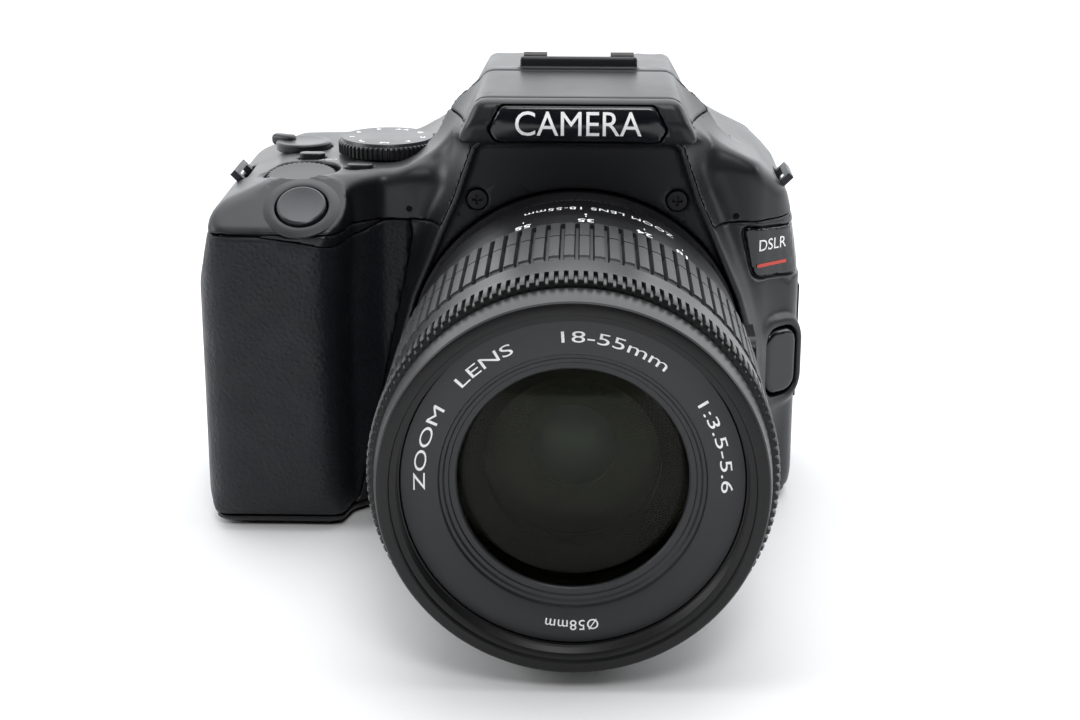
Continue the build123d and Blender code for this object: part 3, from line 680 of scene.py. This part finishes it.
# recesses in the covers: boxes as x, y and z from and to, bars as radius, place, direction, from and to
pockets = {
    "lensRing": (33.3, (0, -30, 36), (0, 1, 0), -8, 4), "lensBore": (29.8, (0, -30, 36), (0, 1, 0), -1, 14),
    "screen": (-27.1, 60, 19.6, 60, 5.0, 64.0), "screenPosts": ((15.0, 21.6), (47.4, 54.0)),
    "audioPort": (44.9, 60, -7.8, 4.8, 20.2, 44.8), "dataPort": (-90, -74.5, -3.8, 6.6, 19.2, 43.8),
    "lockPin": (1.6, (30.4, -30, 36), (0, 1, 0), -4, 20),
    "crossPad": (9.45, (-42, 24.5, 32), (0, 1, 0), -3.9, 9),
    "batteryDoor": (-67.5, -50.5, -30.7, 4.7, -4, 4),
    "tripod": (6.2, (0, 0, 0), (0, 0, 1), -9, 4),
    "eyepiece": (-9.6, 9.6, 10, 30, 68.5, 80),
    "diopter": (3.6, (-20.4, 24.5, 78), (0, 1, 0), -3.5, 9),
    "frontScrews": ((-19.5, 67.2), (19.5, 67.2)), "baseScrews": ((30, -12), (30, 14), (-30, 14), (-30, -12)),
    "screwHead": 2.1, "screwShank": 1.2, "buttonGap": 0.4,
}


def lensOpening():
    return np.minimum(barField(*pockets["lensRing"]), barField(*pockets["lensBore"]))


# the screen's tray, with two posts left standing for its hinge
def screenTray():
    tray = boxField(*pockets["screen"])
    for low, high in pockets["screenPosts"]:
        post = np.minimum(barField(2.6, (43.2, 23.4, 0), (0, 0, 1), low, high),
                          boxField(41.2, 45.2, 19, 23.4, low, high))
        tray = without(tray, post)
    return tray


# every other recess with the rounding of its rim
def bodyPockets():
    p = pockets
    head = p["screwHead"]
    made = [(boxField(*p["audioPort"]), 0.25), (boxField(*p["dataPort"]), 0.25), (barField(*p["lockPin"]), 0),
            (barField(*p["crossPad"]), 0.3), (boxField(*p["batteryDoor"]), 0.3), (barField(*p["tripod"]), 0.2),
            (boxField(*p["eyepiece"]), 0), (barField(*p["diopter"]), 0.2)]
    made += [(barField(head, (x, -29, z), (0, 1, 0), -3, 1.2), 0.2) for x, z in p["frontScrews"]]
    made += [(barField(r + p["buttonGap"], (x, 24.5, z), (0, 1, 0), -3.7, 9), 0.3)
             for x, z, r in rearButtons.values()]
    for x, y in p["baseScrews"]:
        made += [(barField(head, (x, y, 0), (0, 0, 1), -1, 1.9), 0.2),
                 (barField(p["screwShank"], (x, y, 0), (0, 0, 1), -9, 9), 0)]
    return made


# the four covers, cut out of one shell so that their surfaces meet exactly
def makeCovers(whole, arch2d, flashSide):
    b = bodyShape
    gap = b["seamGap"]
    above, behind, below = gz - b["topSeam"] + flat, gy - b["rearSeam"] + flat, b["baseTop"] - gz + flat
    inArch = np.maximum(arch2d, gy - b["archBack"])
    lower = np.maximum(np.maximum(above, behind), below)
    frontZone = np.minimum(lower, np.maximum(inArch, -above - 0.3))
    cover = np.maximum(whole, frontZone + 0.01)
    stand(meshFromField("frontShell", cover, whole), "body", "shell", "shell", "front_cover")

    top = without(np.maximum(whole, np.maximum(-above, -inArch) + 0.01), flashSide, 0.2)
    top = without(top, np.maximum(frontField(mirrored(b["plateHole"]), 1.4), gy + 33.2), 0.2)
    top = np.minimum(top, boxField(*b["shoeFence"]))
    top = without(top, boxField(*b["shoeFloor"]), 0.2)
    stand(meshFromField("topShell", top, whole), "body", "shell", "shell", "top_cover")

    rearShape = np.maximum(whole, np.maximum(np.maximum(above, -behind), below) + gap)
    stand(meshFromField("rearShell", rearShape, whole), "body", "shell", "shell", "rear_cover")
    base = np.maximum(whole, np.maximum(-below, -gz) + gap)
    stand(meshFromField("baseShell", base, whole), "body", "shell", "shell", "bottom_cover")


# grip rubber with the thumb patch, and the badge panel
def makeSkins(main, rubberZone, thumbZone, badgeZone, shutterCut):
    rubber = both(np.maximum(main + 0.12, -(main + 1.2)), rubberZone + 0.03, 0.3)
    rubber = np.maximum(rubber, -shutterCut)
    thumb = both(np.maximum(main + 0.1, -(main + 1.0)), thumbZone + 0.12, 0.4)
    thumb = np.maximum(thumb, 8.1 - gy)
    stand(meshFromField("gripSkin", np.minimum(rubber, thumb)), "body", "rubber", "grip_rubber", "grip_rubber")
    badge = both(np.maximum(main + 0.35, -(main + 0.95)), badgeZone + 0.3, 0.4)
    stand(meshFromField("badgePanel", badge), "body", "gloss", "trim", "badge_plate")


def makeFlashAndPlate(outer, room, flashSide):
    b = bodyShape
    head = both(without(outer, room), flashSide + 0.22, 0.3)
    head = np.maximum(head, -boxField(*b["flashMouth"]))
    stand(meshFromField("flashLid", head), "flash", "shell", "shell", "flash_head")
    crown = 0.45 * (gx / 17.0) ** 2 - 35.4 - gy
    plate = np.maximum(frontField(mirrored(b["plateFace"]), 1.4), gy + 33.25)
    plate = both(plate, both(outer, crown + flat, 0.3), 0.5)
    stand(meshFromField("frontPlate", plate), "body", "gloss", "trim", "name_plate")


def makeReleaseKnob():
    knob = oblongField(-0.1, -2.0, 1.3, controls["releaseAt"], controls["releaseNormal"], 1.3)
    stand(meshFromField("releaseKnob", knob, None, 0.01), "release_button", "gloss", "trim", "release_button")


def makeBody():
    b = bodyShape
    outer, main, arch2d, plan, front, side = outerField()
    room = hollowField(plan, front, side)
    rubberZone = np.maximum(frontField(b["gripRubber"], b["gripRadii"]), gy + 5.5)
    thumbZone = np.maximum(frontField(b["thumbRubber"], b["thumbRadii"]), 14 - gy)
    badgeZone = np.maximum(frontField(b["badge"], b["badgeRadii"]), gy + 7)
    flashSide = sideField(b["flashSide"]) + 0 * gx
    cuts = topCuts()

    # one hollow shell with every pocket in it
    whole = without(outer, room)
    skins = [(np.maximum(rubberZone, -(main + 1.25)), 0.15), (np.maximum(badgeZone, -(main + 1.0)), 0.25),
             (np.maximum(thumbZone, -(main + 1.0)), 0.25)]
    openings = [(lensOpening(), 0.4), (screenTray(), 0.4)] + skins + bodyPockets()
    openings += [(cut, 0.3) for cut in cuts] + [(field, 0.4) for field in lugSlots()]
    for opening, edge in openings:
        whole = without(whole, opening, edge)

    makeCovers(whole, arch2d, flashSide)
    makeSkins(main, rubberZone, thumbZone, badgeZone, cuts[0])
    makeFlashAndPlate(outer, room, flashSide)
    makeReleaseKnob()
    return outer


def mirrored(half):
    return half + [(-x, z) for x, z in reversed(half)]


# Leaning slots that the strap lugs stand in
def lugSlots():
    made = []
    for side in (-1, 1):
        x, y, z = (-67.4, -5, 65.0) if side < 0 else (39.9, -8, 66.0)
        lean = Vector((side, 0, 1)).normalized()
        across = np.abs((gx - x) * lean.z - (gz - z) * lean.x) - 1.3
        out = (gx - x) * lean.x + (gz - z) * lean.z
        made.append(np.maximum(both(across, np.abs(gy - y) - 5.9), -out - 4.6))
    return made


outer = makeBody()
report("camera body")


# Turn rows of (height, outer radius, groove radius) about an axis, with ribs round them
def spun(name, rows, at, axis, ribs=128, pattern=((0, 1),), closed=False, sharp=32):
    steps = [(i + share, height) for i in range(ribs) for share, height in pattern]
    bm = bmesh.new()
    loops = []
    for row in rows:
        up, high = row[0], row[1]
        low = row[2] if len(row) > 2 else high
        loop = []
        for place, height in steps:
            angle = 2 * math.pi * place / ribs
            r = low + (high - low) * height
            loop.append(bm.verts.new((r * math.sin(angle) * mm, r * math.cos(angle) * mm, up * mm)))
        loops.append(loop)
    count = len(steps)
    pairs = list(zip(loops, loops[1:] + (loops[:1] if closed else [])))
    for low, high in pairs:
        for i in range(count):
            j = (i + 1) % count
            bm.faces.new((low[i], low[j], high[j], high[i]))
    if not closed:
        bm.faces.new(loops[0])
        bm.faces.new(loops[-1])
    bmesh.ops.recalc_face_normals(bm, faces=bm.faces)
    mesh = bpy.data.meshes.new(name)
    bm.to_mesh(mesh)
    mesh.polygons.foreach_set("use_smooth", [True] * len(mesh.polygons))
    mesh.set_sharp_from_angle(angle=math.radians(sharp))
    ob = bpy.data.objects.new(name, mesh)
    bpy.context.collection.objects.link(ob)
    ob.location = Vector(at) * mm
    ob.rotation_euler = Vector(axis).to_track_quat("Z", "Y").to_euler()
    return ob


lensAt = (0, flangeY, axisZ)
forward = (0, -1, 0)

zoomRubber = {"start": 28.9, "end": 53.9, "split": 39.4, "top": 34.28, "groove": 33.15, "ribs": 82,
              "rib": ((0.0, 0), (0.2, 0), (0.28, 0.94), (0.6, 1.0), (0.92, 0.94))}


def makeZoomRubber():
    z = zoomRubber
    rows = [(z["start"], 33.05), (z["start"], 33.6), (z["start"] + 0.25, 33.95), (z["start"] + 0.6, 33.95),
            (z["start"] + 0.75, z["top"] - 0.1, z["groove"]), (z["start"] + 1.1, z["top"], z["groove"]),
            (z["split"] - 0.3, z["top"], z["groove"]), (z["split"] - 0.15, 33.75, z["groove"]),
            (z["split"] + 0.15, 33.75, z["groove"]), (z["split"] + 0.3, z["top"], z["groove"]),
            (z["end"] - 0.75, z["top"], z["groove"]), (z["end"] - 0.55, 33.9, z["groove"]),
            (z["end"], 33.6), (z["end"], 33.05)]
    rubber = spun("zoomGrip", rows, lensAt, forward, z["ribs"], z["rib"], True)
    stand(rubber, "zoom", "lensRubber", "lens_rubber", "zoom_rubber")


focusRing = {"start": 63.1, "end": 69.1, "top": 34.5, "groove": 33.85, "ribs": 135,
             "rib": ((0.0, 0), (0.3, 0), (0.4, 1), (0.9, 1)), "inside": 31.3}


def makeFocusRing():
    f = focusRing
    rows = [(f["start"], f["inside"]), (f["start"], f["top"] - 0.35), (f["start"] + 0.3, f["top"]),
            (f["start"] + 1.3, f["top"]), (f["start"] + 1.45, f["top"], f["groove"]),
            (f["end"] - 0.8, f["top"], f["groove"]), (f["end"] - 0.2, f["top"] - 0.25, f["groove"] - 0.1),
            (f["end"], f["top"] - 0.6, f["groove"] - 0.3), (f["end"], f["inside"])]
    ring = spun("focusGrip", rows, lensAt, forward, f["ribs"], f["rib"], True)
    stand(ring, "focus_ring", "lens", "lens_plastic", "focus_ring")


# profiles run round each piece as distance in front of the flange and radius
innerTube = {
    "outside": [(24.2, 29.2), (24.2, 31.2), (55.6, 31.2), (55.6, 33.85), (55.85, 34.1), (62.55, 34.1),
                (62.8, 33.85), (62.8, 31.2), (69.3, 31.2), (69.3, 32.7), (69.5, 33.0), (70.2, 33.05),
                (73.4, 32.75), (75.5, 32.4), (75.85, 32.15), (76.0, 31.8), (76.0, 30.5), (75.85, 30.2),
                (75.45, 30.05), (75.4, 29.6)],
    "inside": [(72.05, 29.0), (72.0, 28.7), (69.0, 28.7), (69.0, 20.2), (60, 20.2), (60, 14.9), (52, 14.9),
               (52, 29.2)],
    "turns": 4, "pitch": 0.75, "crest": 29.02, "root": 29.4, "mouth": 75.2,  # filter thread
}


def makeInnerTube():
    t = innerTube
    rows = list(t["outside"])
    for i in range(t["turns"]):
        rows += [(t["mouth"] - i * t["pitch"], t["crest"]), (t["mouth"] - (i + 0.5) * t["pitch"], t["root"])]
    tube = spun("innerTube", rows + t["inside"], lensAt, forward, 180, closed=True, sharp=24)
    stand(tube, "front_group", "lens", "lens_plastic", "inner_barrel")


nameRing = {"profile": [(69.1, 28.58), (71.7, 28.58), (71.88, 28.4), (71.62, 22.6), (71.5, 22.35),
                        (70.9, 22.1), (70.85, 21.6), (70.4, 21.3), (70.35, 20.7), (70.0, 20.5), (69.95, 19.6), (69.7, 19.35),
                        (69.1, 19.35)]}
boreLiner = {"profile": [(67.6, 20.19), (67.6, 20.12), (60.2, 20.12), (60.2, 14.82), (52.3, 14.82),
                         (52.3, 14.88), (60.02, 14.88), (60.02, 20.19)]}
rearGlassPaintedReflection = {"profile": [(42.5, 9.6), (45.5, 9.2), (47.6, 6.6), (49.0, 4.1), (49.7, 2.0), (49.9, 0.2)]}
zoomBand = {"profile": [(20.1, 28.7), (20.1, 33.1), (20.3, 33.38), (28.4, 33.38), (28.6, 33.2), (28.7, 33.0),
                        (54.1, 33.0), (54.1, 33.35), (54.3, 33.58), (55.0, 33.58), (55.2, 33.4), (55.2, 31.6),
                        (23.4, 31.6), (23.4, 28.7)]}


def makeLens():
    makeZoomRubber()
    makeFocusRing()
    makeInnerTube()
    face = spun("nameFace", nameRing["profile"], lensAt, forward, 180, closed=True, sharp=24)
    stand(face, "front_group", "nameRing", "lens_plastic", "name_ring")
    liner = spun("boreLiner", boreLiner["profile"], lensAt, forward, 160, closed=True)
    stand(liner, "front_group", "bore", "lens_plastic")
    # bluish dome behind the iris, painted reflection of the rear element's coatings
    glass = spun("rearGlassPaintedReflection", rearGlassPaintedReflection["profile"], lensAt, forward, 96, sharp=40)
    stand(glass, "front_group", "rearGlassPaintedReflection", "optical_glass")
    band = spun("zoomBand", zoomBand["profile"], lensAt, forward, 180, closed=True, sharp=24)
    stand(band, "zoom", "lens", "lens_plastic", "zoom_ring")


# Flat letters as numpy points in mm, centred, with their faces; longest splits long strokes
def words(text, size, fat=0.0, spacing=1.0, longest=None):
    curve = bpy.data.curves.new("words", "FONT")
    curve.body = text
    curve.size = size
    curve.offset = fat
    curve.space_character = spacing
    curve.align_x = "CENTER"
    curve.align_y = "CENTER"
    curve.resolution_u = 4
    holder = bpy.data.objects.new("words", curve)
    bpy.context.collection.objects.link(holder)
    bpy.context.view_layer.update()
    mesh = bpy.data.meshes.new_from_object(holder.evaluated_get(bpy.context.evaluated_depsgraph_get()))
    if longest:
        splitLong(mesh, longest)
    points = np.array([v.co for v in mesh.vertices]).reshape(-1, 3)
    faces = [tuple(p.vertices) for p in mesh.polygons]
    bpy.data.objects.remove(holder)
    return points, faces


def splitLong(mesh, longest):
    bm = bmesh.new()
    bm.from_mesh(mesh)
    for again in range(4):
        bmesh.ops.triangulate(bm, faces=bm.faces[:])
        bmesh.ops.subdivide_edges(bm, edges=[e for e in bm.edges if e.calc_length() > longest], cuts=1)
    bm.to_mesh(mesh)


def inkPiece(name, places, faces, body, material="white", slotName="trim"):
    mesh = bpy.data.meshes.new(name)
    mesh.from_pydata((places * mm).tolist(), [], faces)
    ob = bpy.data.objects.new(name, mesh)
    bpy.context.collection.objects.link(ob)
    return stand(ob, body, material, slotName)


# Move points along a direction until they meet a field's surface
def dropOn(field, places, direction, lift=0.04, reach=12.0):
    d = np.array(direction, float)
    first = np.array([a[0] for a in axes])
    steps = np.arange(0, reach, 0.1)
    found = np.zeros(len(places))
    done = np.zeros(len(places), bool)
    last = None
    for t in steps:
        value = fieldSample(field, 0, (places + d * t - first) / grid["step"])
        if last is not None:
            crossing = ~done & (value <= 0) & (last > 0)
            share = last[crossing] / (last[crossing] - value[crossing])
            found[crossing] = t - 0.1 + share * 0.1
            done |= crossing
        last = value
    return places + d * (found - lift)[:, None]


# Letters laid round the lens axis; face gives s from a radius
def ringWords(text, size, radius, face, middle, turn, span=None, fat=0.0, spacing=1.0):
    points, faces = words(text, size, fat, spacing)
    width = points[:, 0].max() - points[:, 0].min()
    scale = 1.0 if span is None else math.radians(span) * radius / width
    angle = math.radians(middle) + turn * points[:, 0] * scale / radius
    r = radius + points[:, 1]
    return np.stack([r * np.sin(angle), flangeY - face(r), axisZ + r * np.cos(angle)], 1), faces


# Letters round the outside of the barrel, to be read from behind the camera
def barrelWords(text, size, radius, s, middle, fat=0.0, spacing=1.0):
    points, faces = words(text, size, fat, spacing)
    angle = math.radians(middle) - points[:, 0] / radius
    return np.stack([(radius + 0.03) * np.sin(angle), flangeY - (s + points[:, 1]),
                     axisZ + (radius + 0.03) * np.cos(angle)], 1), faces


marks = {
    "plate": "CAMERA", "plateSize": 6.6, "plateWide": 24.0, "badge": "DSLR", "badgeSize": 3.3,
    "nameRing": "ZOOM   LENS     18-55mm     1:3.5-5.6", "nameSize": 2.8, "nameSpan": 186,
    "focalMarks": (("55", -17), ("35", 3), ("24", 22), ("18", 36)),
    "barrelLine": "ZOOM LENS 18-55mm", "thread": "\u00d858mm",
    "deckLabels": (("ISO", -43.6, -13.9), ("DISP", -51.0, -9.2)),
    "dialMarks": ("A+", "P", "S", "A", "M", "C", "1", "2", "3"), "dialRing": 6.9, "dialSize": 2.6,
    "nameRadius": 25.3, "threadSize": 2.6, "barrelSize": 2.8, "focalSize": 3.3, "deckSize": 1.9,
}


def makeMarks(outer):
    m = marks
    nameFace = lambda r: 71.66 + 0.26 * (r - 22.4) / 6.2 + 0.03
    places, faces = ringWords(m["nameRing"], m["nameSize"], m["nameRadius"], nameFace, 0, 1, m["nameSpan"])
    inkPiece("ringWords", places, faces, "front_group")
    places, faces = ringWords(m["thread"], m["threadSize"], m["nameRadius"], nameFace, 180, 1, None, 0.01, 1.1)
    inkPiece("threadWords", places, faces, "front_group")
    for number, angle in m["focalMarks"]:
        places, faces = barrelWords(number, m["focalSize"], 33.38, 24.6, angle, 0.03)
        inkPiece("focal" + number, places, faces, "zoom")
        places, faces = barrelWords("I", 1.3, 33.38, 21.4, angle, 0.03)
        inkPiece("tick" + number, places, faces, "zoom")
    places, faces = barrelWords(m["barrelLine"], m["barrelSize"], 33.0, 13.4, 8, 0.0, 1.1)
    inkPiece("barrelWords", places, faces, "body")
    places, faces = barrelWords("I", 1.8, 33.0, 18.6, 3, 0.12)
    inkPiece("zoomIndex", places, faces, "body")

    points, faces = words(m["plate"], m["plateSize"], longest=0.5)
    wide = points[:, 0] * m["plateWide"] / (points[:, 0].max() - points[:, 0].min())
    start = np.stack([wide, np.full(len(points), -41.0), 83.1 + points[:, 1]], 1)
    inkPiece("plateWords", dropOn(outer, start, (0, 1, 0), 0.12), faces, "body")
    points, faces = words(m["badge"], m["badgeSize"], 0.015, longest=0.5)
    look = Vector((-0.64, 0.77, 0)).normalized()
    side = Vector((0.77, 0.64, 0))
    for name, low, tall, body in (("badgeWords", 56.2, None, "white"), ("badgeBar", 52.2, 0.7, "red")):
        if tall:
            steps = np.linspace(-4.0, 4.0, 25)
            across = np.repeat(steps, 2)
            rise = np.tile([-tall / 2, tall / 2], len(steps))
            faces = [(2 * i, 2 * i + 2, 2 * i + 3, 2 * i + 1) for i in range(len(steps) - 1)]
        else:
            across, rise = points[:, 0], points[:, 1]
        start = np.stack([39.2 + side.x * across - look.x * 8, -18.8 + side.y * across - look.y * 8,
                          low + rise], 1)
        inkPiece(name, dropOn(outer, start, tuple(look), -0.28, 16), faces, "body", body)
    for label, x, y in m["deckLabels"]:
        points, faces = words(label, m["deckSize"], 0.03)
        start = np.stack([x - points[:, 0], y - points[:, 1], np.full(len(points), 75.0)], 1)
        inkPiece("label" + label, dropOn(outer, start, (0, 0, -1)), faces, "body", "grey")
    c = controls["modeDialAt"]
    ring = m["dialRing"]
    for i, mark in enumerate(m["dialMarks"]):
        points, faces = words(mark, m["dialSize"], 0.04)
        angle = 2 * math.pi * i / len(m["dialMarks"]) + 0.35
        r = ring + points[:, 1]
        turn = angle - points[:, 0] / ring
        height = np.full(len(r), c[2] + dialTop(ring))
        places = np.stack([c[0] + r * np.sin(turn), c[1] + r * np.cos(turn), height], 1)
        inkPiece("dialMark" + str(i), places, faces, "mode_dial")


modeDial = {
    "teeth": 60,
    "skirt": [(-4.6, 2.0), (0.05, 2.0), (0.05, 9.6), (0.25, 10.2, 9.8), (2.3, 10.25, 9.8), (2.6, 10.05, 9.7),
              (2.75, 9.6), (3.1, 9.5), (3.34, 9.35)],
    "topRadii": (9.1, 8.0, 6.5, 4.5, 2.5, 0.6),
}
dialTooth = ((0.0, 0), (0.16, 0), (0.3, 1), (0.72, 1), (0.86, 0))


# Height of the mode dial's slightly domed top at a radius
def dialTop(r):
    return 3.42 - 0.10 * (r / 9.5) ** 2


shutterButton = {
    "top": [(-3.8, 4.85), (0.5, 4.85), (0.82, 4.72), (0.98, 4.4), (0.9, 3.7), (0.76, 2.6), (0.68, 1.4),
            (0.66, 0.4)],
    "collar": [(-2.0, 5.2), (0.1, 5.2), (0.32, 5.35), (0.4, 5.7), (0.36, 6.2), (0.2, 6.9), (0.02, 7.5),
               (-0.25, 7.6), (-2.0, 6.4)],
}
# mic and speaker holes are not cut: each is a thin black disc on the surface, painted shade standing for the
# dark inside of the hole
smallHoles = {
    "microphone": ((30.2, 66.9), (-31.8, 67.8)), "microphoneShadeDisc": [(-0.4, 0.62), (0.03, 0.62), (0.06, 0.56),
                                                                  (0.03, 0.5), (-0.1, 0.45)],
    "speaker": ((28.6, -7.4), (30.6, -6.6)), "speakerShadeDisc": [(-0.4, 0.5), (0.03, 0.5), (0.04, 0.4)],
}


def makeShutterAndHoles(outer):
    c, h = controls, smallHoles
    tilt = leaning(c["slopeTilt"])
    collar = spun("shutterCollar", shutterButton["collar"], c["shutterAt"], tilt, 128, closed=True)
    stand(collar, "body", "shell", "shell")
    # black discs in flock material paint the shade inside the mic and speaker holes
    for i, (x, z) in enumerate(h["microphone"]):
        y = dropOn(outer, np.array([[x, -40.0, z]]), (0, 1, 0), 0)[0][1]
        hole = spun("micHoleShade" + str(i), h["microphoneShadeDisc"], (x, y, z), (0, -0.98, 0.2), 32)
        stand(hole, "body", "flat", "shell")
    for i, (x, y) in enumerate(h["speaker"]):
        z = dropOn(outer, np.array([[x, y, 85.0]]), (0, 0, -1), 0)[0][2]
        hole = spun("speakerHoleShade" + str(i), h["speakerShadeDisc"], (x, y, z), (0.3, -0.1, 0.95), 32)
        stand(hole, "body", "flat", "shell")
    top = spun("shutterTop", shutterButton["top"], c["shutterAt"], tilt, 96)
    stand(top, "shutter_button", "turnedTop", "control", "shutter_button")


frontDial = {
    "teeth": 40,
    "profile": [(-3.8, 2.0), (0.05, 2.0), (0.05, 6.4), (0.3, 7.15, 6.75), (2.1, 7.2, 6.75), (2.38, 6.9, 6.6),
                (2.5, 6.4), (2.42, 5.9), (2.4, 1.0)],
}
powerSwitch = {
    "profile": [(-4.6, 2.0), (0.05, 2.0), (0.05, 5.5), (0.3, 5.75), (1.6, 5.75), (1.9, 5.5), (2.0, 5.0),
                (1.9, 4.2), (1.85, 0.5)],
    "tab": (5.3, 2.6, 2.4), "tabRound": 0.9, "tabShift": (-4.4, 2.1, 1.7), "tabTurn": -25,
}


def makeDials():
    c = controls
    dial = spun("frontDial", frontDial["profile"], c["mainDialAt"], leaning(c["dialTilt"]), frontDial["teeth"],
                dialTooth)
    stand(dial, "main_dial", "control", "control", "main_dial")
    rows = modeDial["skirt"] + [(dialTop(r), r) for r in modeDial["topRadii"]]
    wheel = spun("modeWheel", rows, c["modeDialAt"], (0, 0, 1), modeDial["teeth"], dialTooth)
    stand(wheel, "mode_dial", "control", "control", "mode_dial")
    s = powerSwitch
    switch = spun("powerWheel", s["profile"], c["switchAt"], (0, 0, 1), 72)
    stand(switch, "power_switch", "control", "control", "power_switch")
    x, y, z = c["switchAt"]
    tab = bevelledBlock("powerTab", s["tab"], s["tabRound"])
    tab.location = Vector((x + s["tabShift"][0], y + s["tabShift"][1], z + s["tabShift"][2])) * mm
    tab.rotation_euler = (0, 0, math.radians(s["tabTurn"]))
    stand(tab, "power_switch", "control", "control")


rearKnobs = {
    "deck": 70.9, "topButton": (5.2, 2.6, 2.9),
    "diopterAt": (-20.4, 24.5, 78),
    "diopter": [(-3.2, 2.9), (0.1, 2.9), (0.1, 3.15, 2.9), (0.7, 3.18, 2.9), (0.88, 2.9), (0.88, 0.4)],
    "padAt": (-42, 24.5, 32),
    "pad": [(-2.6, 4.22), (0.45, 4.22), (0.6, 4.4), (0.7, 4.8), (0.55, 6.4), (0.7, 8.2), (0.6, 8.75),
            (0.4, 8.98), (-2.6, 8.98)],
    "set": [(-2.7, 3.88), (0.25, 3.88), (0.45, 3.7), (0.5, 3.2), (0.35, 1.6), (0.3, 0.4)],
}


def makeRearButtons():
    k = rearKnobs
    backward = (0, 1, 0)
    for name, (x, z, r) in rearButtons.items():
        rows = [(-2.5, r), (0.55, r), (0.82, r - 0.12), (0.9, r - 0.4), (0.86, r * 0.5), (0.85, 0.2)]
        stand(spun(name + "Cap", rows, (x, 24.5, z), backward, 64), name, "control", "control", name)
    for name, (x, y) in zip(("iso_button", "display_button"), controls["topButtons"]):
        bar = bevelledBlock(name + "Cap", k["topButton"], 1.2, "Z", 0.25)
        bar.location = Vector((x, y, k["deck"] + 0.7 - k["topButton"][2] / 2)) * mm
        stand(bar, name, "control", "control", name)
    knob = spun("diopterWheel", k["diopter"], k["diopterAt"], backward, 22, dialTooth)
    stand(knob, "diopter_knob", "control", "control", "diopter_knob")
    pad = spun("crossRing", k["pad"], k["padAt"], backward, 96, closed=True)
    stand(pad, "cross_pad", "control", "control", "cross_pad")
    middle = spun("setCap", k["set"], k["padAt"], backward, 72)
    stand(middle, "set_button", "control", "control", "set_button")


# A block with rounded edges: all of them, or the upright ones and then a small one round the rest
def bevelledBlock(name, size, round, edges="all", top=0.0):
    bm = bmesh.new()
    bmesh.ops.create_cube(bm, size=1)
    for v in bm.verts:
        v.co = Vector((v.co.x * size[0], v.co.y * size[1], v.co.z * size[2])) * mm
    if edges == "all":
        bmesh.ops.bevel(bm, geom=bm.edges[:], offset=round * mm, segments=4, profile=0.5, affect="EDGES")
    else:
        upright = [e for e in bm.edges if abs(e.verts[0].co.z - e.verts[1].co.z) > 0.5 * size[2] * mm]
        bmesh.ops.bevel(bm, geom=upright, offset=round * mm, segments=8, profile=0.5, affect="EDGES")
        rim = [e for e in bm.edges if abs(e.verts[0].co.z - e.verts[1].co.z) < 1e-6 and len(e.link_faces) == 2
               and e.calc_face_angle() > 1.0]
        bmesh.ops.bevel(bm, geom=rim, offset=top * mm, segments=3, profile=0.5, affect="EDGES")
    mesh = bpy.data.meshes.new(name)
    bm.to_mesh(mesh)
    mesh.polygons.foreach_set("use_smooth", [True] * len(mesh.polygons))
    mesh.set_sharp_from_angle(angle=math.radians(40))
    ob = bpy.data.objects.new(name, mesh)
    bpy.context.collection.objects.link(ob)
    return ob


makeLens()
report("lens")
makeShutterAndHoles(outer)
makeDials()
makeRearButtons()
report("dials and buttons")
makeMarks(outer)
report("lettering")
